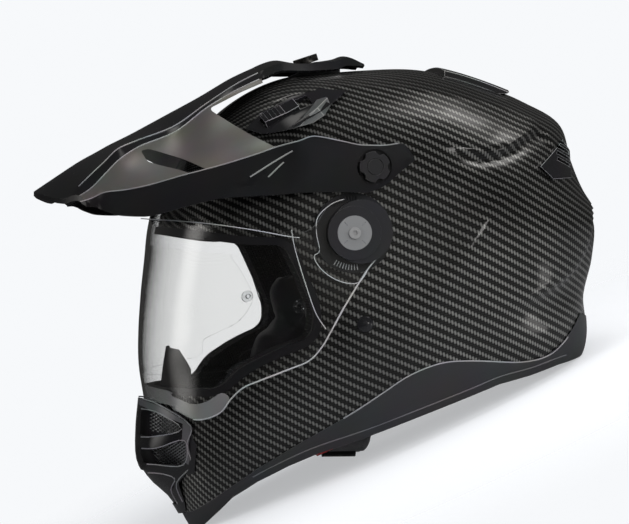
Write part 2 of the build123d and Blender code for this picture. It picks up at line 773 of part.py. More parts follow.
SPINE_SHARES = [
    (-0.82, 0.88, 0.40, 0.825, 0.47, 0.80),
    (-0.60, 1.01, 0.36, 0.965, 0.42, 0.925),
    (-0.43, 1.09, 0.34, 1.055, 0.385, 1.0),
    (-0.31, 1.125, 0.33, 1.095, 0.37, 1.045),
    (-0.18, 1.105, 0.32, 1.09, 0.355, 1.045),
    (0.05, 1.13, 0.26, 1.115, 0.29, 1.06),
    (0.14, 1.155, 0.2, 1.14, 0.22, 1.085),
    (0.26, 1.105, 0.13, 1.1, 0.15, 1.087),
]
ARM_SHARES = [
    (-1.04, 1.06), (-0.82, 1.145), (-0.60, 1.212), (-0.46, 1.245), (-0.25, 1.275), (0.12, 1.283),
    (0.45, 1.27),
]
ARM_OUTLINE_SHARES = [
    (-1.04, 0.36), (-0.91, 0.39), (-0.5, 0.525), (-0.25, 0.6), (0.105, 0.536), (0.3, 0.56), (0.38, 0.46),
    (0.176, 0.286), (0.06, 0.25), (-0.1, 0.255), (-0.34, 0.25), (-0.49, 0.245), (-0.7, 0.23),
    (-0.84, 0.21), (-1.04, 0.155),
]
LIP_SHARES = [
    (-1.9, 0.0), (-1.87, -0.16), (-1.8, -0.36), (-1.71, -0.56), (-1.62, -0.72), (-1.53, -0.79),
    (-1.5, -1.0), (-1.3, -1.3), (1.0, -1.6),
]
REAR_WINDOW_SHARES = [
    (-0.815, 0.79), (-0.78, 0.75), (-0.72, 0.695), (-0.62, 0.615), (-0.48, 0.53), (-0.4, 0.555),
    (-0.4, 0.985), (-0.6, 0.9),
]
FRONT_WINDOW_SHARES = [
    (-1.27, 0.52), (-1.24, 0.45), (-1.17, 0.425), (-1.06, 0.395), (-0.99, 0.369), (-0.9, 0.395),
    (-1.02, 0.46), (-1.14, 0.505), (-1.22, 0.53),
]


def arch_wire(row, wall):
    """Closed section of the peak: the outer line over both sides and the inner line back."""
    x, middle = row[0], row[1]
    outer = [(row[k], row[k + 1]) for k in range(2, len(row), 2)]
    right_side = [(0, middle)] + outer
    inner = []
    for place, (y, z) in enumerate(right_side):
        tilt = place / (len(right_side) - 1)
        inner.append((max(y - wall * tilt, 0), z - wall * (1 - tilt / 2)))
    top = [(y, z) for y, z in reversed(right_side)] + [(-y, z) for y, z in right_side[1:]]
    foot = [(-y, z) for y, z in reversed(inner)] + [(y, z) for y, z in inner[1:]]
    return Wire(Polyline(*[(x, y, z) for y, z in top + foot], close=True).edges())


def arch_loft(shares, wall=peak_wall):
    rows = scaled(shares)
    return Part() + Solid.make_loft([arch_wire(row, wall) for row in rows], ruled=True)


def peak_arm():
    """Side arm from the front panel to the knob, on the left."""
    outer = [(x, -y) for x, y in scaled(ARM_SHARES)]
    inner = [(x, y + peak_wall) for x, y in outer]
    plan = make_face(Polyline(*[(x, y, 0) for x, y in outer + inner[::-1]], close=True))
    slab = extrude(plan, amount=reach, both=True)
    return slab & through(side_face(scaled(ARM_OUTLINE_SHARES)))


def lip_prism():
    left = scaled(LIP_SHARES)
    right = [(x, -y) for x, y in left[1:]]
    plan = make_face(Polyline(*[(x, y, 0) for x, y in left + right[::-1]], close=True))
    return extrude(plan, amount=reach, both=True)


def knob_frame():
    """Plane across the tilt axis, where angles about that axis are drawn."""
    return Pos(knob_x, 0, knob_z)


def top_screw_place():
    """Centre of the screw's seat and its distance from the tilt axis."""
    x = top_screw_x_share * form_radius
    z = top_seat_share * form_radius
    return x, z, math.hypot(x - knob_x, z - knob_z)


top_seat_share = 1.1


def top_screw_frame(lift=0.0, turn=0.0):
    x, z, distance = top_screw_place()
    lean = math.degrees(math.atan2(x - knob_x, z - knob_z))
    return knob_frame() * Rot(0, lean + turn, 0) * Pos(0, 0, distance + lift)


def peak():
    body = arch_loft(PEAK_SHARES)
    spine = arch_loft(SPINE_SHARES)
    body -= through(side_face(scaled(REAR_WINDOW_SHARES)))
    body -= through(side_face(scaled(FRONT_WINDOW_SHARES)))
    arm = peak_arm()
    shaped = (body + spine) & lip_prism()
    shaped += both_sides(arm)
    inner_side = arm_half_width - peak_wall
    boss = side_cylinder(knob_x, knob_z, side_mount_radius, side_mount_top() + body_gap, inner_side)
    shaped += both_sides(boss)
    pocket = side_cylinder(knob_x, knob_z, knob_pocket_radius, arm_half_width - knob_pocket_depth, side_reach)
    shank = side_cylinder(knob_x, knob_z, knob_shank_radius + running_fit, form_radius, side_reach)
    shaped -= both_sides(pocket + shank)
    return largest(shaped - top_slot() - tilt_relief())


def top_slot():
    """Slot and seat along the tilt arc for the screw on top."""
    steps = 4
    cut = None
    for step in range(steps + 1):
        turn = peak_tilt * (step / steps - 1)
        frame = top_screw_frame(0, turn)
        hole = frame * Cylinder(top_screw_shank_radius + 2 * body_gap, 4 * seat_radius)
        seat = frame * Pos(0, 0, seat_radius) * Cylinder(seat_radius, 2 * seat_radius)
        cut = hole + seat if cut is None else cut + hole + seat
    return cut


def tilt_relief():
    """Round clearance under the spine, about the tilt axis, over the mount on the crown."""
    radius = top_screw_place()[2] - peak_wall
    return knob_frame() * Rot(90, 0, 0) * Cylinder(radius, relief_width)


def side_mount_top():
    return half_width_at(SHELL_SHARES, knob_x, knob_z, shell_half_width) + side_mount_height


def side_mount():
    """Round boss on the shell that the arm is clamped to."""
    boss = side_cylinder(knob_x, knob_z, side_mount_radius, form_radius, side_mount_top())
    hole = side_cylinder(knob_x, knob_z, knob_shank_radius + running_fit, form_radius, side_reach)
    return largest(boss - shell_form() - hole)


def peak_knob():
    """Five-lobed thumb screw."""
    seat = arm_half_width - knob_pocket_depth + body_gap
    knob = side_cylinder(knob_x, knob_z, knob_radius, seat, seat + knob_height)
    for lobe in range(knob_lobes):
        around = Pos(knob_x, 0, knob_z) * Rot(0, 360 / knob_lobes * lobe, 0)
        notch = around * Pos(knob_radius + knob_scallop_radius / 2, -seat - knob_height / 2, 0)
        knob -= notch * Rot(90, 0, 0) * Cylinder(knob_scallop_radius, 2 * knob_height)
    top = seat + knob_height
    groove = side_cylinder(knob_x, knob_z, knob_hub_radius + socket_depth, top - socket_depth, side_reach)
    groove -= side_cylinder(knob_x, knob_z, knob_hub_radius, form_radius, side_reach)
    inside = half_width_at(SHELL_SHARES, knob_x, knob_z, shell_half_width) - 1.5 * shell_wall
    shank = side_cylinder(knob_x, knob_z, knob_shank_radius, inside, seat)
    return knob - groove + shank


def top_mount():
    """Block on the crown that takes the top screw."""
    x, z, distance = top_screw_place()
    block = Pos(x, 0, z - top_mount_height / 2) * Box(top_mount_length, top_mount_width, top_mount_height)
    block &= knob_frame() * Rot(90, 0, 0) * Cylinder(distance - peak_wall - body_gap, 2 * top_mount_width)
    hole = top_screw_frame() * Cylinder(top_screw_shank_radius + running_fit, 4 * top_screw_height)
    return largest(block - shell_form() - hole)


def peak_top_screw():
    """Coin-slotted screw with a notched rim."""
    head = top_screw_frame(body_gap + top_screw_height / 2) * Cylinder(top_screw_radius, top_screw_height)
    slot_height = body_gap + top_screw_height
    head -= top_screw_frame(slot_height) * Box(3 * top_screw_radius, coin_slot_width, 2 * coin_slot_depth)
    notches = 12
    for notch in range(notches):
        frame = top_screw_frame(slot_height) * Rot(0, 0, 360 / notches * (notch + 0.5))
        head -= frame * Pos(top_screw_radius, 0, 0) * Cylinder(coin_slot_width / 2, 2 * coin_slot_depth)
    length = peak_wall + 2 * body_gap + shell_wall
    shank = top_screw_frame(body_gap - length / 2) * Cylinder(top_screw_shank_radius, length)
    return head + shank


# Strap, rings, rivets and tabs

STRAP_SHARES = [(-0.57, 6.0), (-0.8, 8.0), (-1.0, 13.0), (-1.18, 19.0)]
STRAP_END_SHARES = [(-0.72, -1.33), (-0.5, -1.405), (-0.3, -1.415)]
strap_x = RIVET_SHARE[0] * form_radius
ring_gap = 0.8
eye_wall = 1.4
left_end_share = -0.16
right_end_share = -0.1
ring_z_share = -1.415


def strap_line(end_share):
    """Side and height of the strap's middle line on the left, from the rivet to its end."""
    points = []
    for z_share, inset in STRAP_SHARES:
        z = z_share * form_radius
        points.append((-half_width_at(SHELL_SHARES, strap_x, z, shell_half_width, inset), z))
    points += scaled(STRAP_END_SHARES)
    return points + [(end_share * form_radius, ring_z_share * form_radius)]


def strap_band(end_share, thickness, width):
    """Flat band of one thickness along the strap's line."""
    points = [(strap_x, y, z) for y, z in strap_line(end_share)]
    middle = Spline(*points, tangents=[(0, 0, -1), (0, 1, 0)])
    counts = 24
    upper, lower = [], []
    for step in range(counts + 1):
        here = middle @ (step / counts)
        along = middle % (step / counts)
        side = Vector(0, -along.Z, along.Y) * (thickness / 2)
        upper.append(here + side)
        lower.append(here - side)
    outline = [Spline(*upper), Line(upper[-1], lower[-1]), Spline(*lower[::-1]), Line(lower[0], upper[0])]
    return extrude(make_face(outline), amount=width / 2, dir=(1, 0, 0), both=True)


def ring_places():
    """Bar centres of the upper and the lower ring."""
    y = left_end_share * form_radius
    z = ring_z_share * form_radius
    rise = (ring_wire + ring_gap) / 2
    return [(strap_x, y, z + rise), (strap_x, y, z - rise)]


def chin_strap_left():
    """Strap whose end wraps the bars of the two rings."""
    strap = strap_band(left_end_share, strap_wall, strap_width)
    places = ring_places()
    height = places[0][2] - places[1][2] + ring_wire + 2 * eye_wall
    depth = ring_wire + 2 * eye_wall
    strap += Pos(strap_x, places[0][1], ring_z_share * form_radius) * Box(strap_width, depth, height)
    for place in places:
        strap -= Pos(*place) * Rot(0, 90, 0) * Cylinder(ring_wire / 2 + running_fit, 2 * strap_width)
    return strap


def chin_strap_right():
    return mirrored(strap_band(right_end_share, strap_wall, strap_width))


def d_ring(place):
    """Ring of round wire with its bar at a place and its bow towards the right."""
    half = ring_width / 2
    line = FilletPolyline(
        (-half, 0, 0), (half, 0, 0), (half * 0.7, ring_depth, 0), (-half * 0.7, ring_depth, 0),
        radius=ring_wire, close=True,
    )
    section = Plane(origin=line @ 0, z_dir=line % 0) * Circle(ring_wire / 2)
    return Pos(*place) * sweep(section, path=line)


def shell_rivets():
    """Domed rivets through the shell that hold the strap."""
    x, z = scaled([RIVET_SHARE])[0]
    plane = surface_plane(x, z, (1, 0), -2 * running_fit)
    ball = rivet_radius * dome_share
    dome = plane * Pos(0, 0, rivet_height - ball) * Sphere(ball)
    dome &= plane * Pos(0, 0, rivet_height / 2) * Cylinder(rivet_radius, rivet_height)
    stem = plane * Pos(0, 0, -rivet_stem_length / 2) * Cylinder(rivet_stem_radius, rivet_stem_length)
    return both_sides(largest(dome + stem))


TAB_SHARE = (-0.1, -1.391)


def pull_tabs():
    """Plain red tabs that release the cheek pads."""
    tab_x, tab_z = scaled([TAB_SHARE])[0]
    width = half_width_at(SHELL_SHARES, tab_x, tab_z, shell_half_width, neck_inset)
    tab = Pos(tab_x, -width, tab_z) * Rot(0, -stance_pitch, 0) * Box(tab_length, tab_width, tab_wall)
    return both_sides(tab)


def all_pieces():
    """Every piece in the head frame, by its name."""
    left_pieces = {
        "forehead_vent": forehead_vent(),
        "forehead_slider": forehead_slider(),
        "rear_exhaust": rear_exhaust(),
        "cheek_pad": cheek_pad(),
        "shield_base": shield_base(),
        "pivot_cover": pivot_cover(),
        "pivot_insert": pivot_insert(),
        "pivot_screw": pivot_screw(),
        "side_mount": side_mount(),
        "peak_knob": peak_knob(),
    }
    pieces = {
        "outer_shell": outer_shell(),
        "lower_trim": lower_trim(),
        "eyeport_gasket": eyeport_gasket(),
        "top_rear_vent": top_rear_vent(),
        "chin_vent_frame": chin_vent_frame(),
        "chin_vent_mesh": chin_vent_mesh(),
        "chin_vent_shutter": chin_vent_shutter(),
        "impact_liner": impact_liner(),
        "chin_liner": chin_liner(),
        "crown_pad": crown_pad(),
        "neck_roll": neck_roll(),
        "breath_guard": breath_guard(),
        "chin_curtain": chin_curtain(),
        "face_shield": face_shield(),
        "anti_fog_insert": anti_fog_insert(),
        "insert_pins": insert_pins(),
        "peak": peak(),
        "top_mount": top_mount(),
        "peak_top_screw": peak_top_screw(),
        "shell_rivets": shell_rivets(),
        "chin_strap_left": chin_strap_left(),
        "chin_strap_right": chin_strap_right(),
        "d_ring_upper": d_ring(ring_places()[0]),
        "d_ring_lower": d_ring(ring_places()[1]),
        "pull_tabs": pull_tabs(),
    }
    for name, shape in left_pieces.items():
        pieces[name + "_left"] = shape
        pieces[name + "_right"] = mirrored(shape)
    return pieces


def standing(shape):
    return Rot(0, stance_pitch, 0) * shape


def export_all(pieces):
    """Turn every piece into the standing frame, centre them on the origin and write them."""
    turned = {name: standing(shape) for name, shape in pieces.items()}
    boxes = [shape.bounding_box() for shape in turned.values()]
    low_x = min(box.min.X for box in boxes)
    high_x = max(box.max.X for box in boxes)
    low_z = min(box.min.Z for box in boxes)
    shift = Pos(-(low_x + high_x) / 2, 0, -low_z)
    os.makedirs("parts", exist_ok=True)
    for name, shape in turned.items():
        export_step(shift * shape, "parts/" + name + ".step")
    print("moved by", -(low_x + high_x) / 2, -low_z)


export_all(all_pieces())
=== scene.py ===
# %% [markdown]
# # A dual sport helmet
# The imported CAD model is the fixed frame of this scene. Each piece is dressed
# around it: some CAD pieces only get a finish, and the ones that carry the
# look, such as the woven shell, the peak and the clear shield, are modelled
# again with finer surfaces and stand for their CAD piece.

# %% Open the frame
import json
import math
import bmesh
import bpy
import numpy as np
from mathutils import Matrix, Vector


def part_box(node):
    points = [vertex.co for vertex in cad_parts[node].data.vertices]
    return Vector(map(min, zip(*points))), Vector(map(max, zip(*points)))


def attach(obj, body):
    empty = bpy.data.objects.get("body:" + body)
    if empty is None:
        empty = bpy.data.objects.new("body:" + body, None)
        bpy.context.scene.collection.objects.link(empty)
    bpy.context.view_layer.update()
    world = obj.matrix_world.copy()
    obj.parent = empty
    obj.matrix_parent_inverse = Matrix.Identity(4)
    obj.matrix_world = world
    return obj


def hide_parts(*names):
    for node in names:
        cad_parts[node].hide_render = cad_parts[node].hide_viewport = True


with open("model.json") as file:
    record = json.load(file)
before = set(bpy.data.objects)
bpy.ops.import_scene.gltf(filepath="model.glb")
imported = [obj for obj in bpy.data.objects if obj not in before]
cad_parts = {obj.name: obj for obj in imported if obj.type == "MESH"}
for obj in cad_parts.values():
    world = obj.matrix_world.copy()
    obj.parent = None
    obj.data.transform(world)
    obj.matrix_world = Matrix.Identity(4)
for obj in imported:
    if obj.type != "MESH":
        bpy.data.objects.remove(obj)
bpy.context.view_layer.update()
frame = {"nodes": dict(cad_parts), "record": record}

nodes = frame["nodes"]
print("CAD pieces:", len(nodes))

# %% [markdown]
# ## Where things are
# A helmet is drawn in a head frame: the origin is midway between the two
# shield pivots, X runs backwards, the left side is at minus Y and Z is up, in
# millimetres. The helmet stands on its chin and the back of its rim, so the
# finished pieces are turned by the stance and moved to the frame's place.

# %% From the head frame to the standing frame
MM = 0.001
STANCE = math.atan2(1.145, 2.54)
SIDES = ((-1, "left"), (1, "right"))
insert_low, insert_high = (Vector(corner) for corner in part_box("pivot_insert_left"))
pivot = (insert_low + insert_high) / 2
lean = Matrix.Rotation(STANCE, 4, "Y")
HEAD = Matrix.Translation((pivot.x, 0, pivot.z)) @ lean @ Matrix.Scale(MM, 4)
print("pivot at", [round(value, 4) for value in pivot])


def finish_piece(name, bm, body, material, stands_for=(), smooth=35):
    """Turn a bmesh in head millimetres into a finished object that rides on a body."""
    bmesh.ops.transform(bm, matrix=HEAD, verts=bm.verts)
    mesh = bpy.data.meshes.new(name)
    bm.to_mesh(mesh)
    bm.free()
    return adopt(name, mesh, body, material, stands_for, smooth)


def adopt(name, mesh, body, material, stands_for=(), smooth=35):
    """Make a placed mesh a piece of the model, with its finish and the CAD pieces it stands for."""
    piece = bpy.data.objects.new(name, mesh)
    bpy.context.scene.collection.objects.link(piece)
    kinds = [face.material_index for face in mesh.polygons]
    mesh.materials.clear()
    for finish in material if isinstance(material, list) else [material]:
        mesh.materials.append(finish)
    mesh.polygons.foreach_set("material_index", kinds)
    if smooth:
        mesh.shade_smooth()
        mesh.set_sharp_from_angle(angle=math.radians(smooth))
    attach(piece, body)
    if stands_for:
        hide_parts(*stands_for)
    print(name, "faces", len(mesh.polygons))
    return piece


# %% [markdown]
# ## Camera
# The photograph is taken from the left, a little in front of the pivot and
# level with the eye port. It shows the head frame upright, so in the standing
# frame the camera leans with the stance.

# %% Camera
FRAME_WIDTH = 629
CAMERA_TURN, CAMERA_RISE = math.radians(9), math.radians(1)
CAMERA_DISTANCE = 2200
PIXEL_SIZE = 0.66
CAMERA_TARGET = Vector((-4.90, 0, -20.26))
to_camera = Vector((
    -math.sin(CAMERA_TURN) * math.cos(CAMERA_RISE),
    -math.cos(CAMERA_TURN) * math.cos(CAMERA_RISE),
    math.sin(CAMERA_RISE),
))
to_right = Vector((math.cos(CAMERA_TURN), -math.sin(CAMERA_TURN), 0))
to_top = to_camera.cross(to_right)
lens_data = bpy.data.cameras.new("photo_camera")
lens_data.sensor_fit = "HORIZONTAL"
lens_data.sensor_width = 36
lens_data.lens = CAMERA_DISTANCE / PIXEL_SIZE * lens_data.sensor_width / FRAME_WIDTH
lens_data.clip_start, lens_data.clip_end = 0.05, 50
camera = bpy.data.objects.new("photo_camera", lens_data)
bpy.context.scene.collection.objects.link(camera)
axes = Matrix((to_right, to_top, to_camera)).transposed().to_4x4()
spot = HEAD @ (CAMERA_TARGET + to_camera * CAMERA_DISTANCE)
camera.matrix_world = Matrix.Translation(spot) @ lean @ axes
bpy.context.scene.camera = camera
bpy.context.scene.view_settings.view_transform = "Standard"
print("lens", round(lens_data.lens, 1), "mm")

# %% [markdown]
# ## Studio
# Dark glossy things are lit with large soft boxes, because what shows on them
# is mostly the shape of the lamps. The background is white for the camera and
# for what is seen through the shield, and darker for reflections, as black
# flags around the set would make it.

# %% Node helpers
WHITE = (0.93, 0.945, 0.965, 1)


def shader_tree(owner):
    owner.use_nodes = True
    owner.node_tree.nodes.clear()
    return owner.node_tree


def plug(tree, socket, value):
    """Link a node or a socket to an input, or set the input to a value."""
    if isinstance(value, bpy.types.Node):
        value = value.outputs[0]
    if isinstance(value, bpy.types.NodeSocket):
        tree.links.new(value, socket)
    elif value is not None:
        socket.default_value = value


def add_node(tree, kind, settings=None, **inputs):
    """A shader node; i0, i1 and i2 are inputs by number and the others by name."""
    made = tree.nodes.new("ShaderNode" + kind)
    for key, value in (settings or {}).items():
        setattr(made, key, value)
    for key, value in inputs.items():
        name = int(key[1]) if key in ("i0", "i1", "i2") else key.replace("_", " ")
        plug(tree, made.inputs[name], value)
    return made


def calc(tree, operation, first, second=None, third=None):
    """One Math node; returns its output."""
    made = tree.nodes.new("ShaderNodeMath")
    made.operation = operation
    for socket, value in zip(made.inputs, (first, second, third)):
        plug(tree, socket, value)
    return made.outputs[0]


def ramp(tree, value, start, end, low=0.0, high=1.0):
    """Value taken smoothly from low at start to high at end."""
    limits = {"From_Min": start, "From_Max": end, "To_Min": low, "To_Max": high}
    made = add_node(tree, "MapRange", {"interpolation_type": "SMOOTHSTEP"}, Value=value, **limits)
    return made.outputs[0]


def object_place(tree):
    return add_node(tree, "TexCoord").outputs["Object"]


# %% World
world = bpy.data.worlds.new("studio")
bpy.context.scene.world = world
tree = shader_tree(world)
heading = add_node(tree, "TexCoord").outputs["Generated"]


def along(direction):
    """Cosine between the looked-at direction and one given in the head frame."""
    fixed = lean.to_3x3() @ Vector(direction).normalized()
    made = add_node(tree, "VectorMath", {"operation": "DOT_PRODUCT"}, i0=heading, i1=fixed)
    return made.outputs["Value"]


def soft_panel(toward, upward, half_width, half_height, strength, softness):
    """A lamp panel with soft borders, for reflections, sizes as sines of half its angles."""
    toward, upward = Vector(toward).normalized(), Vector(upward)
    sideways = toward.cross(upward).normalized()
    upward = sideways.cross(toward)
    level = ramp(tree, along(toward), 0.0, 0.15, 0.0, strength)
    for axis, half in ((sideways, half_width), (upward, half_height)):
        away = calc(tree, "ABSOLUTE", along(axis))
        level = calc(tree, "MULTIPLY", level, ramp(tree, away, half * (1 - softness), half, 1.0, 0.0))
    return level


BACK, UP = (0, 1, 0), (0, 0, 1)
GLOOM, AMBIENT = 0.035, 0.12
studio_light = 0.0
for panel in (
    ((0.46, 0.02, 0.88), BACK, 0.38, 0.27, 1.3, 0.8),
    ((-0.92, 0.36, 0.03), UP, 0.26, 0.62, 1.15, 0.9),
    ((0.52, 0.02, 0.85), BACK, 0.16, 0.16, 1.6, 0.8),
    ((0.58, -0.81, 0.06), UP, 0.12, 0.12, 4.0, 0.6),
    ((0.93, -0.32, -0.17), UP, 0.13, 0.13, 2.2, 0.8),
    ((-0.27, 0.10, 0.95), BACK, 0.16, 0.18, 1.1, 0.8),
    ((-0.17, 0.62, 0.76), BACK, 0.12, 0.12, 1.2, 0.8),
    ((0.15, -0.97, 0.10), UP, 0.55, 0.45, 0.10, 0.7),
):
    studio_light = calc(tree, "ADD", studio_light, soft_panel(*panel))
path = add_node(tree, "LightPath").outputs
glossy_before = calc(tree, "GREATER_THAN", path["Glossy Depth"], 0.5)
diffuse_before = calc(tree, "GREATER_THAN", path["Diffuse Depth"], 0.5)
bounced = calc(tree, "MAXIMUM", glossy_before, diffuse_before)
straight = calc(tree, "MULTIPLY", path["Is Transmission Ray"], calc(tree, "SUBTRACT", 1.0, bounced))
seen = calc(tree, "MAXIMUM", path["Is Camera Ray"], straight)
through_clear = calc(tree, "MULTIPLY", path["Is Transmission Ray"], glossy_before)
glossy = calc(tree, "MAXIMUM", path["Is Glossy Ray"], through_clear)
mirrored = calc(tree, "MULTIPLY", glossy, calc(tree, "ADD", studio_light, GLOOM))
scattered = calc(tree, "MULTIPLY", calc(tree, "SUBTRACT", 1.0, glossy), AMBIENT)
reflected = add_node(tree, "Background", Color=(1.0, 0.98, 0.95, 1), Strength=mirrored)
ambient = add_node(tree, "Background", Color=(0.8, 0.85, 0.95, 1), Strength=scattered)
unseen = add_node(tree, "AddShader", i0=reflected, i1=ambient)
backdrop = add_node(tree, "Background", Color=WHITE, Strength=1.0)
add_node(tree, "OutputWorld", Surface=add_node(tree, "MixShader", i0=seen, i1=unseen, i2=backdrop))


# %% Floor
def work_object(bm, name="work"):
    """An object of its own for a bmesh, which is freed."""
    mesh = bpy.data.meshes.new(name)
    bm.to_mesh(mesh)
    bm.free()
    made = bpy.data.objects.new(name, mesh)
    bpy.context.scene.collection.objects.link(made)
    return made


floor_bm = bmesh.new()
bmesh.ops.create_grid(floor_bm, x_segments=1, y_segments=1, size=2)
floor = work_object(floor_bm, "floor")
paper = bpy.data.materials.new("paper")
tree = shader_tree(paper)
path = add_node(tree, "LightPath").outputs
far = add_node(tree, "VectorMath", {"operation": "LENGTH"}, i0=object_place(tree)).outputs["Value"]
near = ramp(tree, far, 0.12, 0.5, 0.75, 0.0)
near = calc(tree, "MULTIPLY", near, ramp(tree, path["Is Glossy Ray"], 0.0, 1.0, 1.0, 0.3))
matt = add_node(tree, "BsdfDiffuse", Color=(0.85, 0.86, 0.88, 1))
lit = add_node(tree, "AddShader", i0=matt, i1=add_node(tree, "Emission", Color=WHITE, Strength=0.5))
seen = calc(tree, "MULTIPLY", path["Is Camera Ray"], 0.6)
sheet_look = add_node(tree, "MixShader", i0=seen, i1=matt, i2=lit)
surface = add_node(tree, "MixShader", i0=near, i1=add_node(tree, "BsdfTransparent"), i2=sheet_look)
add_node(tree, "OutputMaterial", Surface=surface)
floor.data.materials.append(paper)

# %% Lamps, placed and aimed in head millimetres; reflections come from the world
for name, place, target, width, height, power in (
    ("top_box", (60, -250, 900), (0, -30, 40), 900, 500, 5),
    ("side_box", (500, -1500, 700), (40, -100, 20), 900, 700, 18),
    ("front_strip", (-1100, -700, 150), (-100, -60, -30), 260, 900, 5),
    ("back_box", (900, -500, 500), (140, -80, 20), 300, 600, 4),
    ("far_box", (-200, 1200, 700), (0, 60, 20), 900, 500, 4),
):
    lamp = bpy.data.lights.new(name, "AREA")
    lamp.shape = "RECTANGLE"
    lamp.size, lamp.size_y = width * MM, height * MM
    lamp.energy = power
    holder = bpy.data.objects.new(name, lamp)
    bpy.context.scene.collection.objects.link(holder)
    spot, aim = HEAD @ Vector(place), HEAD @ Vector(target)
    facing = (spot - aim).to_track_quat("Z", "Y").to_matrix().to_4x4()
    holder.matrix_world = Matrix.Translation(spot) @ facing
    holder.visible_glossy = False
    holder.visible_transmission = False

# %% [markdown]
# ## Finishes
# Each finish is built from nodes. Moulded plastic has a faint grain and
# smudges in its gloss, metal has fine brushing, fabric has a knit, and the
# shell's carbon cloth is drawn tow by tow from its own UV map, with the tows of
# one direction painted bright as a painted sheen and clouds of painted
# reflection over them. The light grey finishes are painted highlights, glow
# and sheen.


# %% Finish helpers
def new_finish(name):
    material = bpy.data.materials.new(name)
    return material, shader_tree(material)


def noise(tree, place, scale, detail):
    return add_node(tree, "TexNoise", Vector=place, Scale=scale, Detail=detail).outputs


def bump(tree, height, strength, distance):
    return add_node(tree, "Bump", Height=height, Strength=strength, Distance=distance)


def clouded(tree, colour, cloud, share):
    """A colour with a share of clouds multiplied in."""
    return add_node(tree, "MixRGB", {"blend_type": "MULTIPLY"}, i0=share, i1=(*colour, 1), i2=cloud["Color"])


def close_finish(tree, **inputs):
    """End a finish with the standard surface."""
    add_node(tree, "OutputMaterial", Surface=add_node(tree, "BsdfPrincipled", **inputs))


def moulded(name, colour, roughness, relief=0.05, coat=0.0, smudge=0.1, metallic=0.0):
    """Moulded plastic or rubber: an even colour, uneven gloss and a fine grain."""
    material, tree = new_finish(name)
    place, grain = object_place(tree), 0.0002
    cloud = noise(tree, place, 35.0, 4.0)
    gloss = calc(tree, "MULTIPLY_ADD", cloud["Fac"], smudge, roughness - smudge / 2)
    speck = noise(tree, place, 1 / (grain * 4), 2.0)
    close_finish(
        tree, Base_Color=clouded(tree, colour, cloud, 0.35), Roughness=gloss,
        Normal=bump(tree, speck["Fac"], relief, grain), Metallic=metallic,
        Coat_Weight=coat, Coat_Roughness=0.06,
    )
    return material


def metal(name, colour, roughness, brushing=0.25, axis=(1, 60, 1), metallic=1.0):
    """Metal with fine brushing along one direction."""
    material, tree = new_finish(name)
    stretch = add_node(tree, "Mapping", Vector=object_place(tree), Scale=axis)
    lines = noise(tree, stretch, 120.0, 3.0)["Fac"]
    close_finish(
        tree, Base_Color=(*colour, 1), Metallic=metallic,
        Roughness=calc(tree, "MULTIPLY_ADD", lines, brushing, roughness),
        Normal=bump(tree, lines, 0.15, 0.0001),
    )
    return material


def fabric(name, colour, pitch=0.0008, shine=0.3):
    """Knitted or woven lining with a fine two-way pattern."""
    material, tree = new_finish(name)
    place = object_place(tree)
    across, upwards = (
        add_node(
            tree, "TexWave", {"bands_direction": axis}, Vector=place, Scale=0.5 / pitch, Distortion=1.5,
        ).outputs["Fac"] for axis in "XZ"
    )
    close_finish(
        tree, Base_Color=clouded(tree, colour, noise(tree, place, 60.0, 5.0), 0.6), Roughness=0.9,
        Normal=bump(tree, calc(tree, "MULTIPLY", across, upwards), 0.6, pitch / 2), Sheen_Weight=shine,
    )
    return material


def clear(name, tint, roughness=0.0, ior=1.49):
    """Clear polycarbonate: it bends light, reflects at its edges and takes a little colour."""
    material, tree = new_finish(name)
    wipe = noise(tree, object_place(tree), 8.0, 2.0)["Fac"]
    solid = add_node(
        tree, "BsdfPrincipled", Base_Color=(*tint, 1), Roughness=roughness,
        Normal=bump(tree, wipe, 0.03, 0.001), Transmission_Weight=1.0, IOR=ior,
    )
    shade = add_node(tree, "BsdfTransparent", Color=(*tint, 1))
    in_shadow = add_node(tree, "LightPath").outputs["Is Shadow Ray"]
    look = add_node(tree, "MixShader", i0=in_shadow, i1=solid, i2=shade)
    add_node(tree, "OutputMaterial", Surface=look)
    return material


# %% Carbon cloth under a clear coat
# The tows along V are painted much brighter than those along U: a painted sheen in place of their different
# gloss.
RESIN, TOW_DARK, TOW_SHEEN_PAINT = 0.008, 0.03, 0.46


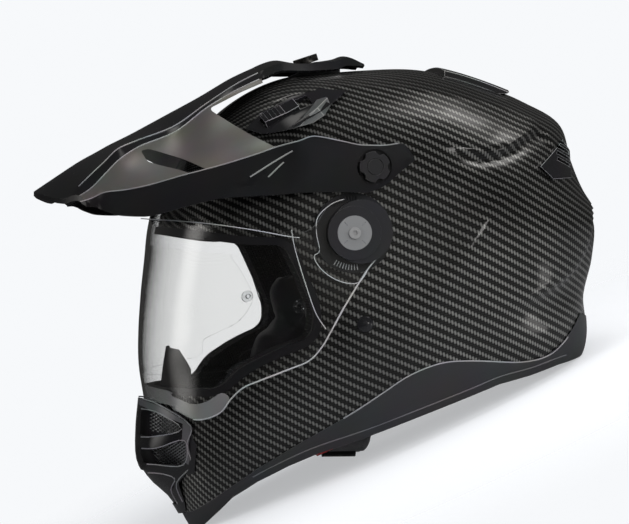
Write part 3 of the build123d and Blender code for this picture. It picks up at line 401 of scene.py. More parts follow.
def carbon(name):
    """2 by 2 twill: tows along U float over two tows along V, one step further in each row."""
    material, tree = new_finish(name)
    weave = add_node(tree, "UVMap", {"uv_map": "weave"})
    u, v = add_node(tree, "SeparateXYZ", Vector=weave).outputs[:2]
    cell_u, cell_v = calc(tree, "FLOOR", u), calc(tree, "FLOOR", v)
    in_u, in_v = calc(tree, "SUBTRACT", u, cell_u), calc(tree, "SUBTRACT", v, cell_v)
    step = calc(tree, "FLOORED_MODULO", calc(tree, "ADD", cell_u, cell_v), 4.0)
    along_u = calc(tree, "LESS_THAN", step, 1.5)
    along_v = calc(tree, "SUBTRACT", 1.0, along_u)

    def arch(value, power):
        """1 in the middle of a span from 0 to 1, and 0 at its ends."""
        centred = calc(tree, "ABSOLUTE", calc(tree, "MULTIPLY_ADD", value, 2.0, -1.0))
        return calc(tree, "SUBTRACT", 1.0, calc(tree, "POWER", centred, power))

    def tow(started, run, across, shown):
        """Height of one tow that floats over two others, where it shows."""
        float_part = calc(tree, "MULTIPLY", calc(tree, "ADD", started, run), 0.5)
        rounded = calc(tree, "MULTIPLY", arch(across, 2.5), arch(float_part, 3.0))
        return calc(tree, "MULTIPLY", rounded, shown)

    tow_u = tow(step, in_u, in_v, along_u)
    tow_v = tow(calc(tree, "SUBTRACT", step, 2.0), in_v, in_u, along_v)
    # Tows along V take the painted sheen, tows along U stay dark.
    bright = calc(tree, "MULTIPLY_ADD", tow_v, TOW_SHEEN_PAINT, RESIN)
    bright = calc(tree, "MULTIPLY_ADD", tow_u, TOW_DARK, bright)
    # Clouds of painted reflection make the cloth brighter or darker in patches.
    cloud = noise(tree, object_place(tree), 13.0, 2.0)["Fac"]
    bright = calc(tree, "MULTIPLY", bright, calc(tree, "MULTIPLY_ADD", cloud, 1.7, 0.2))
    blue = calc(tree, "MULTIPLY", bright, 0.96)
    close_finish(
        tree, Base_Color=add_node(tree, "CombineColor", Red=bright, Green=bright, Blue=blue),
        Metallic=0.9, Roughness=0.38, Anisotropic=0.7,
        Normal=bump(tree, calc(tree, "ADD", tow_u, tow_v), 0.5, 0.00025),
        Anisotropic_Rotation=calc(tree, "MULTIPLY", along_v, 0.25),
        Tangent=add_node(tree, "Tangent", {"direction_type": "UV_MAP", "uv_map": "weave"}),
        Coat_Weight=1.0, Coat_Roughness=0.03, Coat_IOR=1.5,
    )
    return material


# %% The finishes
CARBON = carbon("carbon_cloth")
SATIN = moulded("satin_black", (0.022, 0.022, 0.024), 0.32)
PEAK_SATIN = moulded("peak_satin", (0.012, 0.012, 0.013), 0.17, relief=0.02, smudge=0.05)
GLOSS = moulded("gloss_black", (0.012, 0.012, 0.013), 0.08, relief=0.0, smudge=0.04, coat=0.6)
GREY_SATIN = moulded("satin_grey", (0.024, 0.024, 0.026), 0.4)
SMOKE = moulded("smoke_grey", (0.13, 0.13, 0.135), 0.25, coat=0.3)
TRIM = moulded("trim_satin", (0.035, 0.036, 0.038), 0.34, relief=0.12)
GASKET = moulded("gasket_rubber", (0.012, 0.012, 0.014), 0.3)
RUBBER = moulded("soft_rubber", (0.02, 0.02, 0.021), 0.55)
RED = moulded("red_plastic", (0.55, 0.012, 0.012), 0.35)
BLACK_METAL = moulded("black_paint", (0.012, 0.012, 0.013), 0.12, coat=0.8)
# The funnels are the same black plastic as the peak, painted a light warm grey as a painted sheen.
FUNNEL_SHEEN_PAINT = moulded("painted_funnel_sheen", (0.40, 0.385, 0.36), 0.30, relief=0.0, metallic=0.8)
# Light grey for the cut edges, fine lines and teeth of the clear parts: a painted glow and painted
# highlights.
LENS_GLOW_PAINT = moulded("painted_lens_glow", (0.55, 0.56, 0.57), 0.25, coat=0.5)
# Light grey for rounded corners and slim beads: a painted highlight where black edges catch the light.
PAINTED_EDGE_HIGHLIGHT = moulded("painted_edge_highlight", (0.30, 0.30, 0.305), 0.22)
# Lighter grey for the vent fins: a painted sheen where their sloping face catches the light.
FIN_SHEEN_PAINT = moulded("painted_fin_sheen", (0.10, 0.105, 0.11), 0.3)
# Light grey for the shield's lower rim: a painted glow of light scattered in the clear plastic.
RIM_GLOW_PAINT = moulded("painted_rim_glow", (0.36, 0.37, 0.38), 0.25, coat=0.5)
STEEL = metal("bright_steel", (0.50, 0.50, 0.50), 0.24, metallic=0.6)
DARK_STEEL = metal("dark_steel", (0.20, 0.195, 0.185), 0.25)
BRUSHED = metal("brushed_disc", (0.34, 0.345, 0.35), 0.32, axis=(60, 1, 1), metallic=0.5)
WIRE = metal("wire_mesh", (0.75, 0.76, 0.77), 0.3, brushing=0.05)
LINING = fabric("lining_knit", (0.022, 0.022, 0.026))
CURTAIN = fabric("curtain_weave", (0.02, 0.02, 0.022))
WEBBING = fabric("webbing", (0.018, 0.018, 0.02), pitch=0.0012)
FOAM = fabric("foam_beads", (0.03, 0.03, 0.032), pitch=0.003, shine=0.0)
LENS = clear("clear_shield", (0.966, 0.965, 0.958))
INSERT = clear("clear_insert", (0.992, 0.992, 0.988), ior=1.02)
PIN = clear("pin_plastic", (0.85, 0.86, 0.87), roughness=0.12)

# %% [markdown]
# ## The form of the shell
# A helmet's shell is a closed egg with ridges. Here each side loop has a
# radius for every angle from the front, and the loops shrink towards the ears
# with a given fullness. A grid is laid on that rule, and one formula serves
# shell, shield and chin vent alike.

# %% Form tables: angle from the front, radius as a share, fullness
FORM_RADIUS = 100.0
POLE_RADIUS = 24.0
EASE_SPAN = 12
SHELL_WALL, SHIELD_WALL = 3.2, 2.4
HALF_WIDTH = {"shell": 120.0, "shield": 125.0, "chin": 120.0}
FORM_ROWS = {
    "shell": [
        (-70, 2.19, 1.8), (-64.5, 2.09, 1.76), (-59, 1.95, 1.74), (-52, 1.83, 1.68), (-46, 1.66, 1.66),
        (-42, 1.545, 1.7), (-37, 1.41, 1.77), (-28, 1.265, 1.9), (-15, 1.145, 2.05), (0, 1.08, 2.15),
        (15, 1.052, 2.2), (35, 1.035, 2.25), (55, 1.033, 2.3), (75, 1.04, 2.3), (90, 1.038, 2.3),
        (105, 1.098, 2.3), (120, 1.228, 2.3), (135, 1.387, 2.3), (147, 1.575, 2.3),
        (155.5, 1.715, 2.35), (164, 1.695, 2.35), (171, 1.72, 2.4), (178, 1.815, 2.4),
        (186, 1.785, 2.4), (194, 1.768, 2.4), (200, 1.85, 2.4), (205, 1.895, 2.4), (213, 1.86, 2.4),
        (228, 1.78, 2.4), (248, 1.78, 2.35), (268, 1.94, 2.2), (280, 2.11, 1.95),
    ],
    "shield": [
        (-80, 2.5, 1.85), (-70, 2.4, 1.85), (-62, 2.16, 1.83), (-55, 1.91, 1.8), (-49, 1.75, 1.8),
        (-43, 1.61, 1.8), (-36, 1.495, 1.85), (-28, 1.37, 1.9), (-20, 1.27, 2.0), (-10, 1.185, 2.1),
        (0, 1.145, 2.15), (10, 1.12, 2.2), (30, 1.12, 2.25), (60, 1.15, 2.3), (110, 1.25, 2.3),
        (160, 1.45, 2.3), (200, 1.7, 2.2), (245, 2.2, 2.0),
    ],
    "chin": [
        (-80, 2.3, 1.5), (-70, 2.2, 1.5), (-65, 2.13, 1.5), (-60, 2.03, 1.52), (-54.7, 1.995, 1.55),
        (-50.5, 1.935, 1.55), (-46.3, 1.79, 1.58), (-42, 1.64, 1.62), (-36, 1.48, 1.7),
        (-25, 1.26, 1.8), (0, 1.1, 2.0), (60, 1.1, 2.2), (120, 1.2, 2.2), (180, 1.5, 2.2),
        (230, 1.9, 2.0),
    ],
}


def hermite(t, span, rows, slopes, low):
    """Values between rows low and low + 1 of a table, t of the way, with the rows' slopes."""
    left = (2 * t**3 - 3 * t**2 + 1) * rows[low] + (t**3 - 2 * t**2 + t) * span * slopes[low]
    right = (3 * t**2 - 2 * t**3) * rows[low + 1] + (t**3 - t**2) * span * slopes[low + 1]
    return left + right


def dense_rows(table):
    """First angle, then radius share and fullness at every half degree, and the eased share."""
    first, count = table[0][0], len(table)
    marks = np.array([row[0] for row in table] + [first + 360], float)
    rows = np.array([row[1:] for row in table] + [table[0][1:]], float)
    spans = np.diff(marks)
    before = np.concatenate([[spans[-1]], spans])
    previous = np.roll(rows[:-1], 1, axis=0)
    following = np.concatenate([rows[1:-1], rows[:1]])
    tangents = (following - previous) / (before[:count] + spans)[:, None]
    tangents = np.concatenate([tangents, tangents[:1]])
    angles = first + np.arange(720) / 2
    low = np.clip(np.searchsorted(marks, angles, side="right") - 1, 0, count - 1)
    t = ((angles - marks[low]) / spans[low])[:, None]
    values = hermite(t, spans[low][:, None], rows, tangents, low)
    ease = sum(np.roll(values[:, 0], -2 * EASE_SPAN * step) for step in (-2, -1, 0, 1, 2)) / 5
    return first, values, ease


dense = {form: dense_rows(table) for form, table in FORM_ROWS.items()}


def form_radius(form, angle, across, inset=0.0):
    """Radius of a form for arrays of angles in degrees and of parts of the way to the side."""
    first, values, ease = dense[form]
    place = np.mod(np.asarray(angle, float) - first, 360) * 2
    low = np.floor(place).astype(int) % 720
    part = place - np.floor(place)
    high = (low + 1) % 720
    share, fullness, eased = (
        column[low] * (1 - part) + column[high] * part for column in (values[:, 0], values[:, 1], ease)
    )
    across = np.clip(np.abs(across), 0, 1)
    share = share + (eased - share) * across**2
    full = FORM_RADIUS * share - inset - POLE_RADIUS
    return POLE_RADIUS + full * (1 - across**fullness) ** (1 / fullness)


def half_width_at(form, x, z, inset=0.0):
    """Distance from the middle plane to a form, for arrays of places in the side view."""
    x, z = np.asarray(x, float), np.asarray(z, float)
    angle, radius = np.degrees(np.arctan2(z, -x)), np.hypot(x, z)
    low, high = np.zeros_like(radius), np.ones_like(radius)
    for _ in range(26):
        middle = (low + high) / 2
        inside = form_radius(form, angle, middle, inset) > radius
        low, high = np.where(inside, middle, low), np.where(inside, high, middle)
    return (HALF_WIDTH[form] - inset) * low


def form_body(form, inset=0.0, grid=(240, 64), shape=None):
    """Closed body: a grid laid on the form, joined at its seam and filled at both ears."""
    bm = bmesh.new()
    bmesh.ops.create_grid(bm, x_segments=grid[0], y_segments=grid[1], size=1)
    flat = np.array([vert.co[:] for vert in bm.verts])
    angle = (flat[:, 0] + 1) * 180
    across = np.sin(flat[:, 1] * math.pi / 2)
    radius = form_radius(form, angle, across, inset)
    turned = np.radians(angle)
    points = np.stack([
        -radius * np.cos(turned), (HALF_WIDTH[form] - inset) * across, radius * np.sin(turned),
    ], axis=1)
    if shape:
        points = shape(points)
    for vert, point in zip(bm.verts, points):
        vert.co = point
    bmesh.ops.remove_doubles(bm, verts=bm.verts, dist=0.01)
    bmesh.ops.holes_fill(bm, edges=[edge for edge in bm.edges if edge.is_boundary], sides=0)
    bmesh.ops.recalc_face_normals(bm, faces=bm.faces)
    return work_object(bm)


def form_wall(form, outer, inner, grid=(240, 64), inner_grid=None, shape=None):
    """Hollow body between two insets of a form."""
    return combine(form_body(form, outer, grid, shape), form_body(form, inner, inner_grid or grid, shape))


# %% [markdown]
# ## Cutting with side outlines
# The eye port, the line between carbon and trim and the outline of the shield
# are all cut straight across the helmet, so each is a prism over an outline
# in the side view, and a Boolean takes it away.

# %% Prisms and cuts
REACH = 400.0


def smooth_line(points, pieces=6, closed=False):
    """Points on a smooth curve through an outline, so that cut edges have no corners."""
    points = [Vector(point) for point in points]
    count = len(points)
    made = []
    for place in range(count if closed else count - 1):
        around = (place + step for step in (-1, 0, 1, 2))
        before, start, end, after = (
            points[each % count if closed else min(max(each, 0), count - 1)] for each in around
        )
        for step in range(pieces):
            t = step / pieces
            made.append(
                0.5 * (2 * start + (end - before) * t + (2 * before - 5 * start + 4 * end - after) * t**2
                       + (3 * start - before - 3 * end + after) * t**3)
            )
    if not closed:
        made.append(points[-1])
    return made


def scaled(points):
    return [tuple(value * FORM_RADIUS for value in point) for point in points]


def extruded(bm, move):
    """Close a flat outline into a body by moving a copy of its faces."""
    moved = bmesh.ops.extrude_face_region(bm, geom=bm.faces[:])["geom"]
    tops = [part for part in moved if isinstance(part, bmesh.types.BMVert)]
    bmesh.ops.translate(bm, verts=tops, vec=move)
    bmesh.ops.recalc_face_normals(bm, faces=bm.faces)
    return work_object(bm)


def prism(outline, end=200.0, start=None, rounding=0.0):
    """Body across the helmet from a side outline of x and z."""
    bm = bmesh.new()
    start = -end if start is None else start
    verts = [bm.verts.new((point[0], start, point[1])) for point in outline]
    bm.faces.new(verts)
    if rounding:
        bmesh.ops.bevel(
            bm, geom=verts, offset=rounding, offset_type="OFFSET", segments=5, profile=0.5,
            affect="VERTICES", material=-1, clamp_overlap=True,
        )
    return extruded(bm, (0, end - start, 0))


def under(outline):
    """Prism of everything under a side line that runs from front to back."""
    line = [tuple(point) for point in smooth_line(outline)]
    first, last = line[0], line[-1]
    front = (-REACH, first[1] - (REACH + first[0]) * math.tan(STANCE))
    return prism([front] + line + [(REACH, last[1]), (REACH, -REACH), (-REACH, -REACH)])


def rod(radius, place, direction, length, segments=48):
    """Closed cylinder from a place along a direction."""
    bm = bmesh.new()
    turn = Vector(direction).to_track_quat("Z", "Y").to_matrix().to_4x4()
    start = Matrix.Translation(place) @ turn @ Matrix.Translation((0, 0, length / 2))
    bmesh.ops.create_cone(
        bm, cap_ends=True, segments=segments, radius1=radius, radius2=radius, depth=length, matrix=start,
    )
    return work_object(bm)


def side_rod(radius, side_sign, start, length, segments=48, at=(0, 0)):
    """Closed cylinder across one side, at an x and z, from a distance outwards."""
    return rod(radius, (at[0], side_sign * start, at[1]), (0, side_sign, 0), length, segments)


def combine(base, other, operation="DIFFERENCE", cut_finish=0):
    """Apply one Boolean to a work object and drop the cutter, whose faces may carry another finish."""
    if cut_finish:
        for made in (base, other):
            while len(made.data.materials) <= cut_finish:
                made.data.materials.append(None)
        other.data.polygons.foreach_set("material_index", [cut_finish] * len(other.data.polygons))
    cut = base.modifiers.new("cut", "BOOLEAN")
    cut.operation, cut.object, cut.solver = operation, other, "EXACT"
    cut.use_self = False
    baked(base)
    discard(other)
    return base


def baked(work):
    """Apply the modifiers of a work object."""
    graph = bpy.context.evaluated_depsgraph_get()
    result = bpy.data.meshes.new_from_object(work.evaluated_get(graph))
    work.modifiers.clear()
    old = work.data
    work.data = result
    bpy.data.meshes.remove(old)


def discard(made):
    mesh = made.data
    bpy.data.objects.remove(made)
    bpy.data.meshes.remove(mesh)


def taken(made, merge=0.0):
    """The mesh of a work object as a bmesh, with near points joined; the object goes."""
    bm = bmesh.new()
    bm.from_mesh(made.data)
    discard(made)
    if merge:
        bmesh.ops.remove_doubles(bm, verts=bm.verts, dist=merge)
    return bm


def rounded_edges(piece, width, angle=24, highlight_finish=None):
    """Round a piece's corners; the rounding may show its own light grey finish, a painted highlight."""
    edges = piece.modifiers.new("edges", "BEVEL")
    edges.width, edges.segments = width * MM, 2
    edges.limit_method, edges.angle_limit = "ANGLE", math.radians(angle)
    edges.use_clamp_overlap = True
    if highlight_finish:
        piece.data.materials.append(highlight_finish)
        edges.material = len(piece.data.materials) - 1


# %% Outlines in the side view, as shares of the form radius
EYE_PORT = scaled([
    (-2.2, 0.02), (-1.05, -0.02), (-0.655, -0.076), (-0.425, -0.075), (-0.325, -0.28), (-0.235, -0.49),
    (-0.25, -0.65), (-0.447, -0.727), (-0.67, -0.85), (-0.785, -0.99), (-2.2, -1.035),
])
SHELL_EDGE = scaled([
    (-0.95, -1.86), (-0.88, -1.81), (-0.708, -1.65), (-0.54, -1.505), (-0.3, -1.34), (-0.03, -1.17),
    (0.1, -1.085), (0.225, -1.0), (0.36, -0.91), (0.51, -0.845), (0.65, -0.815), (0.85, -0.815),
    (1.14, -0.83), (1.33, -0.8), (1.45, -0.72), (1.54, -0.61), (1.6, -0.53), (1.73, -0.56),
])
RIM = scaled([
    (-0.95, -2.05), (-0.86, -1.97), (-0.774, -1.84), (-0.67, -1.7), (-0.53, -1.59), (-0.35, -1.485),
    (-0.17, -1.4), (0.15, -1.285), (0.54, -1.14), (0.81, -1.04), (1.0, -0.97), (1.23, -0.92),
    (1.44, -0.86), (1.7, -0.81),
])
CHIN_HOLE = scaled([(-2.2, -1.2), (-1.0, -1.2), (-1.02, -1.6), (-2.2, -1.75)])
SHIELD_OUTLINE = scaled([
    (-2.2, 0.16), (-1.13, 0.115), (-0.9, 0.085), (-0.63, 0.045), (-0.425, 0.01), (-0.33, 0.0),
    (-0.24, 0.05), (-0.15, 0.17), (0.0, 0.2), (0.15, 0.14), (0.2, 0.0), (0.17, -0.12), (0.08, -0.24),
    (-0.05, -0.45), (-0.13, -0.6), (-0.19, -0.71), (-0.27, -0.8), (-0.4, -0.857), (-0.56, -0.925),
    (-0.66, -0.975), (-0.73, -1.05), (-0.78, -1.13), (-0.85, -1.175), (-0.935, -1.19), (-1.04, -1.14),
    (-1.16, -1.097), (-2.2, -1.02),
])
CHIN_FOOT = (-84.0, -194.5)


def ground():
    """Everything under the standing plane, which the chin's foot touches."""
    bm = bmesh.new()
    foot = Matrix.Translation((CHIN_FOOT[0], 0, CHIN_FOOT[1]))
    place = foot @ Matrix.Rotation(-STANCE, 4, "Y") @ Matrix.Translation((0, 0, -REACH))
    bmesh.ops.create_cube(bm, size=2 * REACH, matrix=place)
    return work_object(bm)


# %% [markdown]
# ## Creases in the shell
# The real shell isn't a plain egg: a ridge runs over the forehead vent to the
# back, a ledge under it catches the light, a soft edge crosses the side, and a
# sharp wing stands out over a hollow at the back. Each is a line on the shell
# with a profile across it that pushes the surface in or out.

# %% Crease lines and their profiles
LEDGE = [
    (48.5, -108.0, 63.4), (57.9, -109.0, 57.1), (72.5, -107.0, 53.4), (88.0, -103.5, 51.6),
    (99.5, -98.5, 53.0), (109.3, -92.0, 56.9), (119.3, -82.5, 62.2), (131.9, -67.5, 67.8),
]
RIDGE = [
    (124.0, -88.0, 46.2), (107.7, -102.5, 30.1), (96.6, -109.0, 19.3), (88.0, -113.0, 9.8),
    (81.2, -115.0, -0.2), (75.2, -116.0, -8.4), (64.0, -117.5, -24.7), (51.2, -117.5, -42.2),
    (34.1, -117.0, -62.3),
]
WING = [
    (166, -40.0, 16), (164.6, -64.0, 5.7), (163.7, -66.0, -4.0), (159.4, -70.5, -13.1),
    (150.7, -78.0, -22.6), (140.8, -86.5, -28.8), (130.6, -93.5, -33.7), (119.4, -100.0, -38.6),
    (108.5, -105.0, -42.9), (94.1, -109.0, -47.7), (80.5, -112.0, -51.4),
]
TOP_CREASE = [
    (-64.3, -72.5, 64.4), (-54.2, -74.0, 72.6), (-37.7, -70.5, 84.3), (-19.4, -73.5, 89.4),
    (1.3, -73.0, 92.7), (12.0, -78.5, 91.3), (34.2, -81.0, 90.7), (56.2, -81.5, 88.8),
    (73.3, -80.5, 85.8), (90.6, -75.5, 82.8), (108.9, -70.0, 78.6), (120.8, -67.0, 74.2),
    (132.2, -66.0, 68.4),
]
EGG = np.array([150.0, 118.0, 110.0])
LEDGE_DEPTH, LEDGE_LIP, RIDGE_HEIGHT, TOP_HEIGHT = 5.2, 0.8, 3.0, 1.5
WING_HEIGHT, WING_HOLLOW = 3.0, 5.2


def to_line(points, line):
    """Signed distance to a crease line, above it positive, and the part of its length run."""
    corners = np.array(line)
    lengths = np.linalg.norm(np.diff(corners, axis=0), axis=1)
    total, run = lengths.sum(), np.concatenate([[0], np.cumsum(lengths)])
    best = np.full(len(points), 1e9)
    sign, part = np.ones(len(points)), np.zeros(len(points))
    for place in range(len(line) - 1):
        start, along = corners[place], corners[place + 1] - corners[place]
        t = np.clip(((points - start) @ along) / (along @ along), 0, 1)
        off = points - (start + t[:, None] * along)
        far = np.linalg.norm(off, axis=1)
        side = np.einsum("ij,ij->i", np.cross(off, along), points / EGG)
        closer = far < best
        best = np.where(closer, far, best)
        sign = np.where(closer, np.where(side > 0, 1.0, -1.0), sign)
        part = np.where(closer, (run[place] + t * lengths[place]) / total, part)
    return best * sign, part


def step_up(value, low, high):
    t = np.clip((value - low) / (high - low), 0, 1)
    return t * t * (3 - 2 * t)


def creased(points):
    """The shell's surface with its ledge, ridge, wing and top crease."""
    left = points.copy()
    left[:, 1] = -np.abs(left[:, 1])
    push = np.zeros(len(left))
    away, part = to_line(left, LEDGE)
    ends = step_up(part, 0.0, 0.45) * (1 - step_up(part, 0.985, 1.0))
    push -= LEDGE_DEPTH * ends * step_up(away, 0, 5) * np.exp(-np.clip(away - 5, 0, None) / 9)
    push += LEDGE_LIP * ends * np.exp(-(np.clip(-away, 0, None) / 9) ** 2) * (away <= 0)
    away, part = to_line(left, RIDGE)
    ends = step_up(part, 0.0, 0.3) * (1 - step_up(part, 0.6, 1.0))
    push += RIDGE_HEIGHT * ends * np.exp(-np.sqrt(away**2 + 1.5) / 10)
    away, part = to_line(left, WING)
    ends = 1 - step_up(part, 0.45, 1.0)
    push += WING_HEIGHT * ends * np.exp(-np.clip(away, 0, None) / 22) * (away >= 0)
    below = np.clip(-away, 0, None)
    fall = WING_HEIGHT - (WING_HEIGHT + WING_HOLLOW) * step_up(below, 0, 11)
    push += ends * (away < 0) * (fall + WING_HOLLOW * step_up(below, 13, 36))
    away, part = to_line(left, TOP_CREASE)
    ends = step_up(part, 0.0, 0.08) * (1 - step_up(part, 0.96, 1.0))
    push += TOP_HEIGHT * ends * np.exp(-np.abs(away) / 7)
    normal = left / EGG**2
    normal /= np.linalg.norm(normal, axis=1)[:, None]
    moved = left + normal * push[:, None]
    moved[:, 1] = np.where(points[:, 1] > 0, -moved[:, 1], moved[:, 1])
    return moved


# %% [markdown]
# ## How the cloth lies
# The cloth runs in rows that fall towards the back on the sides and rise on
# the forehead. The map unrolls the shell from each ear, so that the tows keep
# their two millimetre width nearly everywhere.

# %% Weave map
TOW = 1.9
ROW_FALL, ROW_RISE = math.radians(-25), math.radians(14)
WARP_PLACE = (-35.0, 85.0)
SIDE_UNROLL, CROWN_RISE, CROWN_EASE = 0.42, 50, 260


def of_vertices(mesh, key="co"):
    """Array of one value of three parts for each vertex."""
    flat = np.empty(len(mesh.vertices) * 3)
    mesh.vertices.foreach_get(key, flat)
    return flat.reshape(-1, 3)


def weave_map(mesh):
    """UV map in tows for a mesh that is still in head millimetres."""
    points = of_vertices(mesh)
    radius = np.hypot(points[:, 0], points[:, 2])
    angle = np.arctan2(points[:, 2], -points[:, 0])
    rise = HALF_WIDTH["shell"] - np.abs(points[:, 1])
    crown = np.clip(rise - CROWN_RISE, 0, None) ** 2 / CROWN_EASE
    unrolled = radius + SIDE_UNROLL * np.clip(rise, 0, None) + crown
    x, z = -unrolled * np.cos(angle), unrolled * np.sin(angle)
    front = (1 - step_up(x, -110, 20)) * step_up(z, 20, 95)
    dx, dz = x - WARP_PLACE[0], z - WARP_PLACE[1]
    run = down = 0
    for turn, share in ((ROW_FALL, 1 - front), (ROW_RISE, front)):
        run = run + (dx * math.cos(turn) + dz * math.sin(turn)) * share
        down = down + (dz * math.cos(turn) - dx * math.sin(turn)) * share
    u, v = (run + down) / math.sqrt(2) / TOW, (down - run) / math.sqrt(2) / TOW
    layer = mesh.uv_layers.new(name="weave")
    corners = np.empty(len(mesh.loops), dtype=np.int32)
    mesh.loops.foreach_get("vertex_index", corners)
    layer.data.foreach_set("uv", np.stack([u[corners], v[corners]], axis=1).ravel())


# %% Carbon shell
CHIN_HOLE_HALF_WIDTH = 36.0
GASKET_WEB = 1.5


def eye_prism(grow=0.0):
    return prism(grown(EYE_PORT, grow), rounding=6.0 + grow)


def grown(outline, amount):
    """Outline moved outwards by an amount, for outlines that run clockwise or not."""
    if not amount:
        return outline
    points = [Vector(point) for point in outline]
    area = sum(a.x * b.y - b.x * a.y for a, b in zip(points, points[1:] + points[:1]))
    side = 1 if area > 0 else -1
    made = []
    for place, here in enumerate(points):
        before, after = points[place - 1], points[(place + 1) % len(points)]
        first, second = (here - before).normalized(), (after - here).normalized()
        outward = [Vector((edge.y, -edge.x)) * side for edge in (first, second)]
        middle = (outward[0] + outward[1]).normalized()
        made.append(here + middle * amount / max(middle.dot(outward[0]), 0.3))
    return made


shell = form_wall("shell", 0, SHELL_WALL, (360, 128), (240, 64), creased)
combine(shell, eye_prism(GASKET_WEB))
combine(shell, under(SHELL_EDGE))
combine(shell, prism(CHIN_HOLE, CHIN_HOLE_HALF_WIDTH))
weave_map(shell.data)
shell.data.transform(HEAD)
adopt("carbon_shell", shell.data.copy(), "helmet", CARBON, ["outer_shell"], 40)
discard(shell)

# %% [markdown]
# ## The peak
# A peak is moulded in one piece: a raised spine that splits around two
# openings, hollow funnels on both sides that lead air under it, and flat arms
# that reach the thumb screws. Its cross sections are listed from front to
# back, one grid is laid through them, and the grid gets its wall at the end.

# %% Peak sections, as shares of the form radius
# Columns: x, middle z, then y and z of bevel top, bevel foot, panel, arm top and arm foot
PEAK_ROWS = [
    (-1.96, 0.22, 0.45, 0.08, 0.60, 0.07, 0.65, 0.065, 0.70, 0.06, 0.74, 0.03),
    (-1.76, 0.355, 0.50, 0.195, 0.62, 0.175, 0.66, 0.17, 0.70, 0.165, 0.74, 0.145),
    (-1.60, 0.46, 0.62, 0.35, 0.69, 0.27, 0.70, 0.24, 0.71, 0.21, 0.74, 0.165),
    (-1.50, 0.515, 0.62, 0.445, 0.70, 0.37, 0.745, 0.31, 0.79, 0.255, 0.82, 0.13),
    (-1.41, 0.565, 0.62, 0.53, 0.69, 0.46, 0.77, 0.36, 0.85, 0.265, 0.88, 0.105),
    (-1.28, 0.63, 0.555, 0.585, 0.635, 0.543, 0.785, 0.42, 0.93, 0.29, 0.955, 0.10),
    (-1.04, 0.76, 0.45, 0.675, 0.525, 0.638, 0.80, 0.51, 1.03, 0.36, 1.06, 0.16),
    (-0.82, 0.88, 0.40, 0.825, 0.47, 0.80, 0.845, 0.63, 1.115, 0.42, 1.145, 0.215),
    (-0.60, 1.01, 0.36, 0.965, 0.42, 0.925, 0.91, 0.70, 1.18, 0.49, 1.212, 0.233),
    (-0.46, 1.075, 0.345, 1.035, 0.40, 0.99, 0.93, 0.745, 1.21, 0.54, 1.245, 0.238),
]
# Columns: the first six of those above
SPINE_ROWS = [
    (-0.43, 1.09, 0.34, 1.055, 0.385, 1.0), (-0.31, 1.125, 0.33, 1.095, 0.37, 1.045),
    (-0.18, 1.105, 0.32, 1.09, 0.355, 1.045), (0.05, 1.13, 0.26, 1.115, 0.29, 1.06),
    (0.14, 1.155, 0.2, 1.14, 0.22, 1.085), (0.26, 1.105, 0.13, 1.1, 0.15, 1.087),
]
# Columns: x, y and z of arm top, z of arm foot
ARM_ROWS = [
    (-0.35, 1.262, 0.57, 0.249), (-0.25, 1.275, 0.60, 0.252), (-0.08, 1.279, 0.57, 0.254),
    (0.06, 1.282, 0.545, 0.25), (0.176, 1.282, 0.544, 0.286), (0.3, 1.276, 0.558, 0.388),
    (0.38, 1.272, 0.475, 0.45),
]
LIP = scaled([
    (-1.9, 0.0), (-1.87, -0.16), (-1.8, -0.36), (-1.71, -0.56), (-1.62, -0.72), (-1.53, -0.79),
    (-1.5, -1.0), (-1.3, -1.3), (1.0, -1.6),
])
REAR_WINDOW = scaled([
    (-0.815, 0.79), (-0.78, 0.75), (-0.72, 0.695), (-0.62, 0.615), (-0.48, 0.53), (-0.4, 0.555),
    (-0.4, 0.985), (-0.6, 0.9),
])
FRONT_WINDOW = scaled([
    (-1.27, 0.52), (-1.24, 0.45), (-1.17, 0.425), (-1.06, 0.395), (-0.99, 0.369), (-0.9, 0.395),
    (-1.02, 0.46), (-1.14, 0.505), (-1.22, 0.53),
])
PEAK_WALL = 2.4
KNOB_X, KNOB_Z = 12.5, 41.2
SCREW_X, SCREW_Z = -10.0, 110.0
ARM_HALF_WIDTH, BOSS_START, BOSS_LENGTH, POCKET_DEPTH = 128.0, 113.5, 12.5, 1.4
BOSS_RADIUS, KNOB_POCKET, KNOB_HOLE = 9.0, 11.0, 3.2
SCREW_POCKET, SCREW_HOLE = 10.5, 3.8


def through_rows(marks, rows, places):
    """Values at given places on a smooth curve through rows."""
    marks, rows = np.array(marks, float), np.array(rows, float)
    steps = np.diff(rows, axis=0) / np.diff(marks)[:, None]
    before, after = steps[:-1], steps[1:]
    same_way = before * after > 0
    level = np.where(same_way, 2 * before * after / np.where(same_way, before + after, 1.0), 0.0)
    slopes = np.concatenate([steps[:1], level, steps[-1:]])
    low = np.clip(np.searchsorted(marks, places, side="right") - 1, 0, len(marks) - 2)
    span = (marks[low + 1] - marks[low])[:, None]
    return hermite((places - marks[low])[:, None] / span, span, rows, slopes, low)


# %% Peak grid
LENGTH_STEPS = 5
BODY_END = len(PEAK_ROWS) - 1
TAIL_END = BODY_END + len(ARM_ROWS)
TAIL_START_ROW = LENGTH_STEPS * BODY_END
places = np.linspace(0, TAIL_END, LENGTH_STEPS * TAIL_END + 1)
body_rows, spine_rows, arm_rows = (
    np.array(rows) * FORM_RADIUS for rows in (PEAK_ROWS, SPINE_ROWS, ARM_ROWS)
)
spine_marks = [*range(BODY_END + 1), *np.linspace(BODY_END, TAIL_END, len(SPINE_ROWS) + 1)[1:]]
spine = through_rows(spine_marks, np.concatenate([body_rows[:, :6], spine_rows]), places)
side = np.concatenate([body_rows[:, [0, 8, 9, 11, 10]], arm_rows[:, [0, 1, 2, 3, 1]]])
side = through_rows(range(TAIL_END + 1), side, places)
panel = through_rows(range(BODY_END + 1), body_rows[:, [6, 7]], np.clip(places, 0, BODY_END))

# Parts of the section on one side: crown of the spine, bevel band, funnel, side of the arm
STRIPS = [("crown", 10), ("band", 3), ("funnel", 12), ("side", 8)]
SCOOP_LINE = [(-64.3, 34.0), (-32.3, 55.3)]
SCOOP_DEPTH, SIDE_BULGE = 2.6, 0.9


